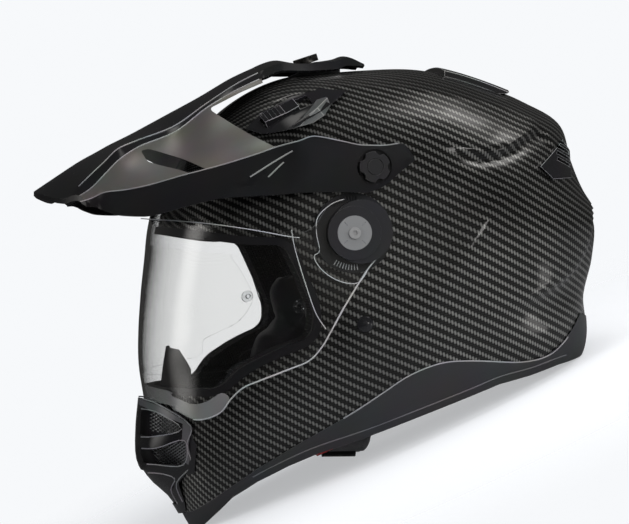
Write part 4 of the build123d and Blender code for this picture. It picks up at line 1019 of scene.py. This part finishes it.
def scoop(x, z):
    """Depth of the fold that crosses the side of the arm behind the front panel."""
    (x0, z0), (x1, z1) = SCOOP_LINE
    run = math.hypot(x1 - x0, z1 - z0)
    away = ((z0 - z) * (x1 - x0) + (x - x0) * (z1 - z0)) / run
    along = np.clip(((x - x0) * (x1 - x0) + (z - z0) * (z1 - z0)) / run**2, 0, 1)
    bowl = SCOOP_DEPTH * step_up(away, -1.0, 4.0) * (1 - step_up(away, 4.0, 22.0)) * (1 - 0.75 * along)
    return bowl * step_up(z, 21, 30)


def section(place, name, across):
    """Point of one strip, from 0 to 1 across it, at one place along the peak."""
    x, middle, y1, z1, y2, z2 = spine[place]
    side_x, y3, z3, z4, y4 = side[place]
    if name == "crown":
        return x, y1 * across, middle + (z1 - middle) * across**1.35
    if name == "band":
        return x, y1 + (y2 - y1) * across, z1 + (z2 - z1) * across
    if name == "funnel":
        first, centre = (1 - across) * (1 - 2 * across), 4 * across * (1 - across)
        last = across * (2 * across - 1)
        panel_y, panel_z = panel[place]
        return (
            x * (1 - across) + side_x * across,
            y2 * first + panel_y * centre + y3 * last, z2 * first + panel_z * centre + z3 * last,
        )
    y, z = y3 + (y4 - y3) * across, z3 + (z4 - z3) * across
    return side_x, y + math.sin(math.pi * across) * SIDE_BULGE - scoop(side_x, z), z


def drop_loose(bm):
    loose = [vert for vert in bm.verts if not vert.link_faces]
    bmesh.ops.delete(bm, geom=loose, context="VERTS")


def peak_sheet():
    """Sheet of one half of the peak, mirrored to the other half; its funnels get the second finish, a
    lighter grey painted sheen.
    """
    bm = bmesh.new()
    columns = [(name, step / steps) for name, steps in STRIPS for step in range(steps)] + [("side", 1.0)]
    grid = [
        [bm.verts.new((x, -y, z)) for x, y, z in (section(place, *column) for column in columns)]
        for place in range(len(places))
    ]
    for number, (row, behind) in enumerate(zip(grid, grid[1:])):
        for column, (name, _) in enumerate(columns[:-1]):
            if number < TAIL_START_ROW or name != "funnel":
                face = bm.faces.new((row[column], behind[column], behind[column + 1], row[column + 1]))
                face.material_index = int(name == "funnel")
    drop_loose(bm)
    bmesh.ops.mirror(bm, geom=bm.verts[:] + bm.edges[:] + bm.faces[:], axis="Y", merge_dist=0.001)
    bmesh.ops.remove_doubles(bm, verts=bm.verts, dist=0.001)
    bmesh.ops.recalc_face_normals(bm, faces=bm.faces)
    if sum(face.normal.z * face.calc_area() for face in bm.faces) < 0:
        bmesh.ops.reverse_faces(bm, faces=bm.faces)
    return bm


sheet = peak_sheet()
bmesh.ops.solidify(sheet, geom=sheet.faces[:], thickness=PEAK_WALL)
bmesh.ops.recalc_face_normals(sheet, faces=sheet.faces)
peak = work_object(sheet)


# %% Cut the lip, windows, pockets and the seat of the top screw
def plan_prism(outline):
    """Upright prism over a plan outline of the left side and its mirror."""
    right = [(x, -y) for x, y in outline[1:]]
    bm = bmesh.new()
    bm.faces.new([bm.verts.new((x, y, -REACH)) for x, y in outline + right[::-1]])
    return extruded(bm, (0, 0, 2 * REACH))


combine(peak, plan_prism([tuple(point) for point in smooth_line(LIP, 4)]), "INTERSECT")
combine(peak, prism(REAR_WINDOW, rounding=3.0))
combine(peak, prism(FRONT_WINDOW, rounding=1.5))
for side_sign, _ in SIDES:
    knob = (KNOB_X, KNOB_Z)
    combine(peak, side_rod(BOSS_RADIUS, side_sign, BOSS_START, BOSS_LENGTH, at=knob), "UNION")
    combine(peak, side_rod(KNOB_POCKET, side_sign, ARM_HALF_WIDTH - POCKET_DEPTH, 30, at=knob))
    combine(peak, side_rod(KNOB_HOLE, side_sign, 90, 60, 24, knob))
for tilt in (-3.0, -1.5, 0.0):
    out = Vector((SCREW_X - KNOB_X, 0, SCREW_Z - KNOB_Z))
    out = Matrix.Rotation(math.radians(tilt), 3, "Y") @ out
    seat = Vector((KNOB_X, 0, KNOB_Z)) + out
    combine(peak, rod(SCREW_HOLE, seat - out.normalized() * 20, out, 40, 24))
    combine(peak, rod(SCREW_POCKET, seat, out, 30))
peak_piece = finish_piece(
    "peak_moulding", taken(peak, 0.02), "peak", [PEAK_SATIN, FUNNEL_SHEEN_PAINT], ["peak"], 18,
)
# The peak's rounded corners show the light grey painted highlight.
rounded_edges(peak_piece, 0.5, 28, PAINTED_EDGE_HIGHLIGHT)

# %% [markdown]
# ## The shield
# The shield is a clear moulded wall with its own crowned form. It is cut from
# that form by its side outline, as the shell is, and the cut faces get a light
# grey finish, a painted glow where light leaves the edge of clear plastic.
# A second lens stands behind it, held by two pins.

# %% Shield and second lens
PIN_PLACE, PIN_HOLE, EAR_HOLE = (-33.5, -45.6), 1.65, 9.05
INSERT_OUTLINE = scaled([
    (-2.2, -0.09), (-0.62, -0.15), (-0.45, -0.2), (-0.31, -0.42), (-0.31, -0.52), (-0.42, -0.64),
    (-0.66, -0.75), (-0.83, -0.88), (-2.2, -0.93),
])
LENS_GAP, LENS_WALL = 0.35, 0.9
SHIELD_GRID = (300, 96)

shield = form_wall("shield", 0, SHIELD_WALL, SHIELD_GRID)
combine(shield, prism(smooth_line(SHIELD_OUTLINE, 5, True)), "INTERSECT", cut_finish=1)
lens_front = SHIELD_WALL + LENS_GAP
second = form_wall("shield", lens_front, lens_front + LENS_WALL, SHIELD_GRID)
combine(second, prism(smooth_line(INSERT_OUTLINE, 5, True)), "INTERSECT")
for side_sign, _ in SIDES:
    combine(shield, side_rod(EAR_HOLE, side_sign, 100, 60))
    for lens in (shield, second):
        combine(lens, side_rod(PIN_HOLE, side_sign, 80, 60, 24, PIN_PLACE))
finish_piece(
    "clear_shield", taken(shield, 0.01), "shield", [LENS, LENS_GLOW_PAINT], ["face_shield"], 30,
)
finish_piece("second_lens", taken(second), "shield", INSERT, ["anti_fog_insert"], 30)

# %% [markdown]
# ## Rubber seal round the eye port
# The seal is a lip that lies on the shell and a web that lines the opening.
# Both are cut by the same outline as the opening.

# %% Seal and its web
SEAL_LIP, SEAL_PROUD, SEAL_DEPTH, WEB_WIDTH = 5.0, 1.8, 5.2, 1.4
for name, outer, inner, width, stands_for in (
    ("eye_port_seal", -SEAL_PROUD, 0.0, SEAL_LIP, ["eyeport_gasket"]),
    ("eye_port_web", 0.0, SEAL_DEPTH, WEB_WIDTH, []),
):
    seal = form_wall("shell", outer, inner, (300, 96), shape=creased)
    combine(seal, eye_prism(width), "INTERSECT")
    combine(seal, eye_prism())
    finish_piece(name, taken(seal, 0.01), "helmet", GASKET, stands_for, 40)

# %% [markdown]
# ## Pivot covers
# Each pivot is hidden by a matt disc with a slimmer crescent behind it. Both
# are plain discs: the crescent is the part of an offset disc that shows.

# %% Pivot covers
COVER_RADIUS, COVER_SEAT, COVER_TOP = 16.8, HALF_WIDTH["shell"] + 5.4, HALF_WIDTH["shell"] + 9.0
CRESCENT_RADIUS, CRESCENT_PLACE, CRESCENT_HEIGHT = 19.8, (4.4, 0.8), 2.7
INSERT_POCKET, INSERT_DEPTH, PIVOT_HOLE = 10.95, 1.0, 2.65
for side_sign, side_name in SIDES:
    cover = side_rod(COVER_RADIUS, side_sign, COVER_SEAT, COVER_TOP - COVER_SEAT, 96)
    crescent = side_rod(CRESCENT_RADIUS, side_sign, COVER_SEAT, CRESCENT_HEIGHT, 96, CRESCENT_PLACE)
    combine(cover, crescent, "UNION")
    combine(cover, side_rod(INSERT_POCKET, side_sign, COVER_TOP - INSERT_DEPTH, 20, 96))
    combine(cover, side_rod(PIVOT_HOLE, side_sign, 100, 60, 32))
    cap = finish_piece(
        "pivot_cap_" + side_name, taken(cover, 0.01), "helmet", GREY_SATIN,
        ["pivot_cover_" + side_name], 30,
    )
    # The cap's rounded corners show the light grey painted highlight.
    rounded_edges(cap, 0.6, 30, PAINTED_EDGE_HIGHLIGHT)

# %% [markdown]
# ## Chin vent
# The chin vent is a gloss black frame that stands proud of the chin, with two
# openings on each side over a fine woven wire screen. It comes from its own
# form, less the shell's, and its corners get a small rounding in light grey, a
# painted highlight line. Its upper part is smoke grey.

# %% Chin vent frame
CHIN_FRAME = scaled([
    (-2.2, -0.98), (-1.215, -1.09), (-1.12, -1.12), (-0.935, -1.235), (-0.95, -1.37), (-0.91, -1.5),
    (-0.985, -1.63), (-0.935, -1.76), (-0.92, -1.83), (-2.2, -2.6),
])
CHIN_UPPER = scaled([
    (-2.2, -1.16), (-1.14, -1.16), (-0.985, -1.26), (-1.14, -1.32), (-2.2, -1.36),
])
CHIN_LOWER = scaled([
    (-2.2, -1.42), (-1.14, -1.4), (-0.965, -1.33), (-0.955, -1.5), (-2.2, -1.53),
])
CHIN_HOLLOW = scaled([
    (-2.2, -1.17), (-0.9, -1.17), (-0.9, -1.56), (-2.2, -1.72),
])
CHIN_FACET = scaled([
    (-2.2, -1.56), (-1.1, -1.56), (-1.0, -1.60), (-1.01, -1.68), (-0.96, -1.78), (-2.2, -2.05),
])
COARSE_GRID = (200, 48)
SMOKE_LINE, SMOKE_SLOPE = (-118.4, -114.5), -0.42
SMOKE_REAR, SMOKE_FOOT = -99.0, -150
CHIN_WALL, FACET_DEPTH, MIDDLE_RIB = 3.0, 1.2, 5.0

chin = form_body("chin", 0, (300, 80))
hollow = form_body("chin", CHIN_WALL, COARSE_GRID)
combine(hollow, prism(CHIN_HOLLOW, CHIN_HOLE_HALF_WIDTH), "INTERSECT")
facet = combine(prism(CHIN_FACET, rounding=2.0), form_body("chin", FACET_DEPTH, COARSE_GRID))
combine(chin, form_body("shell"))
combine(chin, prism(CHIN_FRAME, rounding=1.5), "INTERSECT")
combine(chin, hollow)
combine(chin, facet)
for outline in (CHIN_UPPER, CHIN_LOWER):
    for start, end in ((-200.0, -MIDDLE_RIB), (MIDDLE_RIB, 200.0)):
        combine(chin, prism(outline, end, start, 2.5))
combine(chin, under(RIM))
combine(chin, ground())
chin_bm = taken(chin, 0.02)
for place, normal in (
    ((SMOKE_LINE[0], 0, SMOKE_LINE[1]), (-SMOKE_SLOPE, 0, 1)), ((SMOKE_REAR, 0, 0), (1, 0, 0)),
):
    parts = chin_bm.verts[:] + chin_bm.edges[:] + chin_bm.faces[:]
    bmesh.ops.bisect_plane(chin_bm, geom=parts, plane_co=place, plane_no=normal)
for face in chin_bm.faces:
    centre = face.calc_center_median()
    above = centre.z - SMOKE_LINE[1] > SMOKE_SLOPE * (centre.x - SMOKE_LINE[0])
    face.material_index = int(above or (centre.x > SMOKE_REAR and centre.z > SMOKE_FOOT))
chin_frame = finish_piece(
    "chin_vent_moulding", chin_bm, "helmet", [GLOSS, SMOKE], ["chin_vent_frame"], 24,
)
rounded_edges(chin_frame, 0.5, 24, PAINTED_EDGE_HIGHLIGHT)
backing = form_wall("shell", -0.8, -0.2)
web = combine(form_body("chin", 2.0, COARSE_GRID), form_body("shell", -0.3, COARSE_GRID))
for name, made, half in (("chin_vent_backing", backing, 54.0), ("chin_vent_web", web, 2.0)):
    combine(made, prism(CHIN_HOLLOW, half), "INTERSECT")
    finish_piece(name, taken(made), "helmet", SATIN)


# %% [markdown]
# ## Fine lines of the shield
# Clear mouldings show their steps as thin bright lines: the fold where the
# side wing meets the lens, the rim of the round ear, and the lower rim. The
# lines are painted highlights, slim light grey beads that lie on the shield's
# own form, and the lower rim is a light grey band, a painted glow.

# %% Beads
def on_form(form, x, z, lift=0.0):
    """Point on the left side of a form, a little outside it."""
    return Vector((x, -float(half_width_at(form, x, z, -lift)), z))


def bead(bm, points, radius, sides=6):
    """Closed round bead along a line of points."""
    points = [Vector(point) for point in points]
    rings = []
    for place, point in enumerate(points):
        ahead = points[min(place + 1, len(points) - 1)] - points[max(place - 1, 0)]
        turn_to = ahead.to_track_quat("Z", "Y").to_matrix().to_4x4()
        made = bmesh.ops.create_circle(
            bm, cap_ends=place in (0, len(points) - 1), segments=sides, radius=radius,
            matrix=Matrix.Translation(point) @ turn_to,
        )
        rings.append(made["verts"])
    for first, second in zip(rings, rings[1:]):
        for side in range(sides):
            following = (side + 1) % sides
            bm.faces.new([first[side], first[following], second[following], second[side]])
    bmesh.ops.recalc_face_normals(bm, faces=bm.faces)


def bead_pair(bm, run, radius, sides=6):
    """A bead along a line on the left, and its mirror on the right."""
    for mirror_side in (1, -1):
        bead(bm, [(x, y * mirror_side, z) for x, y, z in run], radius, sides)


# %% Painted highlight beads on the shield and the painted glow of its lower rim
SHIELD_FOLD = scaled([
    (-0.39, 0.02), (-0.375, -0.07), (-0.345, -0.18), (-0.29, -0.35), (-0.235, -0.5), (-0.17, -0.6),
])
EAR_LINE = scaled([
    (-0.06, 0.21), (-0.14, 0.18), (-0.225, 0.10), (-0.235, 0.0), (-0.215, -0.11), (-0.25, -0.15),
    (-0.195, -0.235), (-0.09, -0.30), (0.03, -0.31), (0.1, -0.21),
])
TOP_LINE = scaled([
    (-1.2, 0.085), (-0.9, 0.06), (-0.63, 0.02), (-0.42, -0.02), (-0.34, -0.03),
])
RIM_BAND = scaled([
    (-2.2, -1.02), (-1.16, -1.097), (-1.04, -1.14), (-0.935, -1.19), (-0.85, -1.175), (-0.78, -1.13),
    (-0.73, -1.05), (-0.775, -1.01), (-0.86, -1.07), (-0.94, -1.09), (-1.04, -1.05), (-1.16, -1.0),
    (-2.2, -0.92),
])
EDGE_BEAD, LINE_BEAD = 0.55, 0.32
lines_bm = bmesh.new()
edge_run = [p for p in smooth_line(SHIELD_OUTLINE, 5, True) if p.x > -95 and p.y < -3]
bead_pair(lines_bm, [on_form("shield", p.x, p.y, -0.2) for p in edge_run], EDGE_BEAD)
for outline in (SHIELD_FOLD, EAR_LINE, TOP_LINE):
    bead_pair(lines_bm, [on_form("shield", p.x, p.y) for p in smooth_line(outline, 5)], LINE_BEAD)
finish_piece("shield_highlight_lines", lines_bm, "shield", LENS_GLOW_PAINT, smooth=60)
rim = form_wall("shield", SHIELD_WALL + 0.05, SHIELD_WALL + 1.6)
combine(rim, prism(smooth_line(RIM_BAND, 4, True)), "INTERSECT")
finish_piece("shield_lower_rim", taken(rim), "shield", RIM_GLOW_PAINT, smooth=30)

# %% Teeth at the pivot, that hold the shield at its heights
TEETH, FIRST_TOOTH, TOOTH_STEP = 9, 83, 4.8
TOOTH_RADIUS, TOOTH_PLACE, TOOTH_SIZE = 21.5, 122.35, (3.6, 0.6, 0.55)
teeth_bm = bmesh.new()
for tooth in range(TEETH):
    turned = Matrix.Rotation(math.radians(FIRST_TOOTH + tooth * TOOTH_STEP), 4, "Y")
    for side_sign, _ in SIDES:
        place = Matrix.Translation((0, side_sign * TOOTH_PLACE, 0)) @ turned
        place = place @ Matrix.Translation((TOOTH_RADIUS, 0, 0)) @ Matrix.Diagonal((*TOOTH_SIZE, 1))
        bmesh.ops.create_cube(teeth_bm, size=1, matrix=place)
bmesh.ops.bevel(
    teeth_bm, geom=teeth_bm.edges[:], offset=0.12, segments=1, profile=0.5, affect="EDGES", material=-1,
)
# The clear teeth are drawn in the light grey lens glow, a painted highlight.
finish_piece("detent_teeth", teeth_bm, "helmet", LENS_GLOW_PAINT, smooth=30)

# %% Woven wire in the chin vent
WIRE_PITCH, WIRE_STEP, WIRE_RADIUS = 2.3, 0.8, 0.36
WIRE_PATCHES = [((-119.0, -97.0), (-130.0, -114.0)), ((-115.0, -95.0), (-151.0, -132.0))]
WIRE_SIDES = (-52, -6)
wires_bm = bmesh.new()
for (x_low, x_high), (z_low, z_high) in WIRE_PATCHES:
    for slope in (1, -1):
        for number in range(int(((x_high - x_low) + (z_high - z_low)) / WIRE_PITCH)):
            across = (number + 0.5) * WIRE_PITCH
            run = []
            for x in np.arange(x_low, x_high + 0.01, WIRE_STEP):
                z = z_low + across - (x - x_low if slope > 0 else x_high - x)
                if z_low <= z <= z_high:
                    point = on_form("shell", x, z, 1.1)
                    if WIRE_SIDES[0] < point.y < WIRE_SIDES[1]:
                        run.append(point)
            if len(run) > 2:
                bead_pair(wires_bm, run, WIRE_RADIUS, 4)
finish_piece("chin_vent_wires", wires_bm, "helmet", WIRE, smooth=60)

# %% Painted highlight strokes on the peak's arms and along its creases
# Slim light grey beads stand for the glints of the arm's folds and the spine's creases: painted highlights.
STROKES = [
    [(-64.3, 34.8), (-51.0, 43.4), (-38.5, 51.0)], [(-53.0, 34.8), (-48.0, 39.8), (-43.6, 44.1)],
]
STROKE_BEAD, CORNER_BEAD, RAY_START = 0.5, 0.42, 160.0
strokes_bm = bmesh.new()
for stroke in STROKES:
    for side_sign, _ in SIDES:
        toward = (HEAD.to_3x3() @ Vector((0, -side_sign, 0))).normalized()
        run = []
        for point in smooth_line(stroke, 3):
            start = HEAD @ Vector((point.x, side_sign * RAY_START, point.y))
            hit, place, _, _ = peak_piece.ray_cast(start, toward)
            if hit:
                run.append(HEAD.inverted() @ place)
        if len(run) > 2:
            bead(strokes_bm, run, STROKE_BEAD)
for rows, y, z, last_row in (
    (spine, 2, 3, TAIL_START_ROW), (spine, 4, 5, TAIL_START_ROW), (side, 1, 2, len(places) - 6),
):
    run = [(row[0], -row[y], row[z] + 0.1) for row in rows[8:last_row]]
    bead_pair(strokes_bm, run, CORNER_BEAD)
finish_piece("peak_highlight_strokes", strokes_bm, "peak", PAINTED_EDGE_HIGHLIGHT, smooth=60)

# %% Painted highlight lines on the chin vent's corners
# Slim light grey beads along the frame's corners are painted highlights.
CHIN_HIGHLIGHT_LINES = [
    [
        (-1.215, -1.085), (-1.12, -1.115), (-0.945, -1.235), (-0.96, -1.37), (-0.92, -1.5),
        (-0.995, -1.63), (-0.945, -1.76),
    ],
    [(-1.26, -1.16), (-1.14, -1.16), (-0.995, -1.26), (-1.14, -1.32), (-1.27, -1.345)],
    [
        (-1.26, -1.412), (-1.14, -1.4), (-0.975, -1.335), (-0.965, -1.5), (-1.14, -1.51), (-1.26, -1.515),
    ],
    [(-1.22, -1.58), (-1.1, -1.57), (-1.01, -1.60), (-1.02, -1.68), (-0.97, -1.78)],
]
chin_lines_bm = bmesh.new()
for outline in CHIN_HIGHLIGHT_LINES:
    run = [on_form("chin", p.x, p.y, -0.1) for p in smooth_line(scaled(outline), 4)]
    bead_pair(chin_lines_bm, [point for point in run if point.y < -7], 0.45)
finish_piece("chin_vent_highlight_lines", chin_lines_bm, "helmet", PAINTED_EDGE_HIGHLIGHT, smooth=60)

# %% [markdown]
# ## Fin on the forehead vent
# Behind each slider a sharp fin splits the air. It is a low wedge with a flat
# sloping face that catches the light, so it is made as a small hull over its
# outline, with the outline on the vent and the ridge lifted off it. It is
# painted a lighter grey than the black vent, a painted sheen, and its rounded
# corners carry a painted highlight.

# %% Vent fins
FIN_FOOT = [
    (-0.375, 0.645), (-0.22, 0.69), (-0.15, 0.735), (-0.10, 0.80), (-0.115, 0.86), (-0.18, 0.84),
    (-0.255, 0.70),
]
FIN_RIDGE = [(-0.31, 0.665, 3.4), (-0.195, 0.785, 7.2), (-0.12, 0.85, 6.2)]
FOOT_LIFT, SUNK_LIFT = 2.2, 0.6
for side_sign, side_name in SIDES:
    fin_bm = bmesh.new()
    foot, sunk = ([(x, z, lift) for x, z in FIN_FOOT] for lift in (FOOT_LIFT, SUNK_LIFT))
    for x, z, lift in foot + FIN_RIDGE + sunk:
        point = on_form("shell", x * FORM_RADIUS, z * FORM_RADIUS, lift)
        fin_bm.verts.new((point.x, -point.y * side_sign, point.z))
    bmesh.ops.convex_hull(fin_bm, input=fin_bm.verts[:])
    drop_loose(fin_bm)
    bmesh.ops.dissolve_limit(
        fin_bm, angle_limit=math.radians(4), verts=fin_bm.verts[:], edges=fin_bm.edges[:],
    )
    bmesh.ops.recalc_face_normals(fin_bm, faces=fin_bm.faces)
    fin = finish_piece("vent_fin_" + side_name, fin_bm, "helmet", FIN_SHEEN_PAINT, smooth=20)
    rounded_edges(fin, 0.3, 20, PAINTED_EDGE_HIGHLIGHT)

# %% [markdown]
# ## Pads and straps
# The comfort lining is padded: each pad starts from the space that the CAD
# holds for it, is remeshed so that the cloth can move evenly, and is blown up a
# little as a sewn cover over foam would be. The sewn channels are pressed in
# afterwards, because remeshing would wipe them out.

# %% Padded pieces
PRESSURE, CLOTH_FRAMES = 4, 20
CHANNEL_DEPTH, CHANNEL_WIDTH = 0.0016, 2.6


def node_bmesh(node):
    """Joined copy of a CAD piece in head millimetres."""
    bm = bmesh.new()
    bm.from_mesh(nodes[node].data)
    bmesh.ops.transform(bm, matrix=HEAD.inverted(), verts=bm.verts)
    bmesh.ops.remove_doubles(bm, verts=bm.verts, dist=0.01)
    return bm


def settle(work, kind, **settings):
    """Apply one modifier to a work object."""
    made = work.modifiers.new(kind.lower(), kind)
    for key, value in settings.items():
        setattr(made, key, value)
    baked(work)


def blown_up(work, cap):
    """Blow a work object up as a cloth cover, each point by no more than a cap in metres."""
    cloth = work.modifiers.new("cloth", "CLOTH")
    cloth.settings.use_pressure = True
    cloth.settings.uniform_pressure_force = PRESSURE
    cloth.settings.effector_weights.gravity = 0
    cloth.settings.quality = 4
    for step in range(1, CLOTH_FRAMES + 1):
        bpy.context.scene.frame_set(step)
    start = of_vertices(work.data)
    baked(work)
    moved = of_vertices(work.data) - start
    far = np.linalg.norm(moved, axis=1)
    moved *= (np.minimum(far, cap) / np.maximum(far, 1e-9))[:, None]
    work.data.vertices.foreach_set("co", (start + moved).ravel())
    bpy.context.scene.frame_set(1)


def cushion(name, node, channels, voxel=0.005, cap=0.005):
    """Padded cover over a CAD pad's space, with sewn channels where channels(x, y, z) is near 0."""
    bm = node_bmesh(node)
    bmesh.ops.transform(bm, matrix=HEAD, verts=bm.verts)
    work = work_object(bm)
    settle(work, "REMESH", mode="VOXEL", voxel_size=voxel)
    settle(work, "SMOOTH", factor=0.5, iterations=3)
    blown_up(work, cap)
    settle(work, "SUBSURF", levels=1, render_levels=1)
    points = of_vertices(work.data)
    head_points = np.array(HEAD.inverted()) @ np.c_[points, np.ones(len(points))].T
    press = CHANNEL_DEPTH * np.exp(-((channels(*head_points[:3]) / CHANNEL_WIDTH) ** 2))
    points -= of_vertices(work.data, "normal") * press[:, None]
    work.data.vertices.foreach_set("co", points.ravel())
    piece = adopt(name, work.data.copy(), "helmet", LINING, [node], 0)
    piece.data.shade_smooth()
    discard(work)


def nearest(value, *lines):
    return np.min([np.abs(value - line) for line in lines], axis=0)


def crown_channels(x, y, z):
    return np.minimum(nearest(np.abs(y), 20, 52), nearest(x, -20, 40, 90))


def cheek_channels(x, y, z):
    return nearest(z + 0.35 * x, -66, -104)


def neck_channels(x, y, z):
    return nearest(np.degrees(np.arctan2(y, x)), -48, -24, 0, 24, 48) * 1.6


cushion("crown_lining", "crown_pad", crown_channels)
for _, side_name in SIDES:
    cushion("cheek_cushion_" + side_name, "cheek_pad_" + side_name, cheek_channels, 0.0045, 0.006)
cushion("neck_cushion", "neck_roll", neck_channels)

# %% [markdown]
# ## Straps and curtain
# The strap is flat webbing that hangs from its rivet, turns under the chin and
# wraps the bars of two rings. Webbing is a ribbon along a line, given its
# thickness at the end, and the curtain under the chin is a sheet between the
# rim's front edge and the throat.

# %% Straps
STRAP_X, STRAP_HALF_WIDTH, STRAP_WALL = 8.5, 11.0, 1.8
RING_LOOP = [
    (-18.9, -141.5), (-18.7, -145.2), (-16.0, -146.9), (-13.3, -145.2), (-13.1, -141.5),
    (-13.3, -137.8), (-16.0, -136.1), (-18.7, -137.8), (-18.9, -140.6),
]


def strap_path(end_y):
    """Line of y and z from the rivet down inside the shell, under the chin and to an end."""
    points = []
    for share, inset in ((-0.57, 6.0), (-0.8, 8.0), (-1.0, 13.0), (-1.18, 19.0)):
        z = share * FORM_RADIUS
        points.append((-float(half_width_at("shell", STRAP_X, z, inset)), z))
    return points + [(-72.0, -133.0), (-50.0, -140.5), (-30.0, -141.5), (end_y, -141.5)]


def thicken(piece, thickness):
    wall = piece.modifiers.new("wall", "SOLIDIFY")
    wall.thickness, wall.offset = thickness * MM, 0


for (side_sign, side_name), path in zip(SIDES, (strap_path(-22.0) + RING_LOOP, strap_path(-10.0))):
    path = smooth_line(path, 5)
    last = len(path) - 1
    bm = bmesh.new()
    bmesh.ops.create_grid(bm, x_segments=last, y_segments=6, size=1)
    for vert in bm.verts:
        y, z = path[round((vert.co.x + 1) / 2 * last)]
        vert.co = (STRAP_X + vert.co.y * STRAP_HALF_WIDTH, -y * side_sign, z)
    strap = finish_piece(
        "webbing_" + side_name, bm, "helmet", WEBBING, ["chin_strap_" + side_name], 60,
    )
    thicken(strap, STRAP_WALL)
    strap.modifiers.new("edges", "BEVEL").width = 0.4 * MM

# %% Chin curtain
CURTAIN_HALF_WIDTH, CURTAIN_BACK, CURTAIN_WALL = 43.5, -51.0, 1.2
rim_line = np.array(RIM)
reach_x = np.linspace(-88, -45, 160)
reach_z = np.interp(reach_x, rim_line[:, 0], rim_line[:, 1]) + 5.8
front_half, back_half = (half_width_at("shell", reach_x, reach_z, inset) for inset in (5.7, 45.0))
curtain_bm = bmesh.new()
bmesh.ops.create_grid(curtain_bm, x_segments=12, y_segments=40, size=1)
for vert in curtain_bm.verts:
    y = vert.co.y * CURTAIN_HALF_WIDTH
    first = float(np.interp(abs(y), front_half, reach_x))
    last = CURTAIN_BACK
    if abs(y) < back_half.max():
        last = min(float(np.interp(abs(y), back_half, reach_x)), CURTAIN_BACK)
    x = first + (max(last, first + 1.0) - first) * (vert.co.x + 1) / 2
    vert.co = (x, y, float(np.interp(x, reach_x, reach_z)))
curtain_area = sum(face.calc_area() for face in curtain_bm.faces) * MM**2
curtain = finish_piece("chin_curtain_cloth", curtain_bm, "helmet", CURTAIN, ["chin_curtain"], 60)
thicken(curtain, CURTAIN_WALL)
size_x = max(float(np.ptp(of_vertices(curtain.data)[:, 0])) * 1.15, curtain_area / 0.087 * 1.05)

# %% Breath guard, a soft moulded flap
guard = finish_piece(
    "breath_deflector", node_bmesh("breath_guard"), "helmet", RUBBER, ["breath_guard"], 40,
)
rounded_edges(guard, 0.5, 30)

# %% [markdown]
# ## The lower trim
# A satin band is bonded round the shell's lower edge. The CAD piece keeps its
# shape. A slim raised line in light grey runs along its border with the cloth,
# a painted highlight where that corner catches the light, and another in smoke
# grey where the band folds in to the rim, also a painted highlight.

# %% Painted highlight lines along the trim
for name, outline, rise, first_x, paint in (
    ("trim_highlight_line", SHELL_EDGE, 0, -6, PAINTED_EDGE_HIGHLIGHT), ("trim_fold_highlight", RIM, 5.2, -58, SMOKE),
):
    trim_bm = bmesh.new()
    run = [p for p in smooth_line(outline, 5) if first_x < p.x < 150]
    bead_pair(trim_bm, [on_form("shell", p.x, p.y + rise, 0.8) for p in run], 0.5)
    finish_piece(name, trim_bm, "helmet", paint, smooth=60)

# %% Dress the CAD pieces that keep their shape
FINISHES = {
    "trim_rubber": TRIM, "satin_black": SATIN, "gloss_black": GLOSS, "brushed_insert": BRUSHED,
    "steel": STEEL, "black_metal": BLACK_METAL, "foam": FOAM, "pin_plastic": PIN, "red_tab": RED,
}
# Finish and rounding in millimetres where a piece has its own, by the start of its name
OWN_FINISHES = {
    "forehead_vent": GLOSS, "rear_exhaust": GLOSS, "chin_vent_mesh": GLOSS, "top_rear_vent": GLOSS,
    "peak_top_screw": DARK_STEEL, "shield_base": RUBBER,
}
# Rounded corners of these pieces show the light grey painted highlight.
EDGES = {
    "forehead_vent": 0.3, "rear_exhaust": 0.3, "top_rear_vent": 0.4, "peak_top_screw": 0.3,
    "peak_knob": 0.35, "forehead_slider": 0.25, "pivot_insert": 0.15, "pivot_screw": 0.15,
    "lower_trim": 0.35,
}


def by_start(table, node, other):
    """The entry of a table whose key a node's name starts with."""
    return next((table[start] for start in table if node.startswith(start)), other)


slot_of = {part["node"]: part["material_slot"] for part in frame["record"]["subparts"]}
shown = [node for node in nodes if not nodes[node].hide_render]
for node in shown:
    piece = nodes[node]
    finish = by_start(OWN_FINISHES, node, None) or FINISHES[slot_of[node]]
    piece.data.materials.clear()
    piece.data.materials.append(finish)
    piece.data.polygons.foreach_set("material_index", [0] * len(piece.data.polygons))
    piece.modifiers.new("weld", "WELD").merge_threshold = 0.00001
    edge = by_start(EDGES, node, 0)
    if edge:
        rounded_edges(piece, edge, 32, PAINTED_EDGE_HIGHLIGHT)
print("finished CAD pieces:", len(shown))
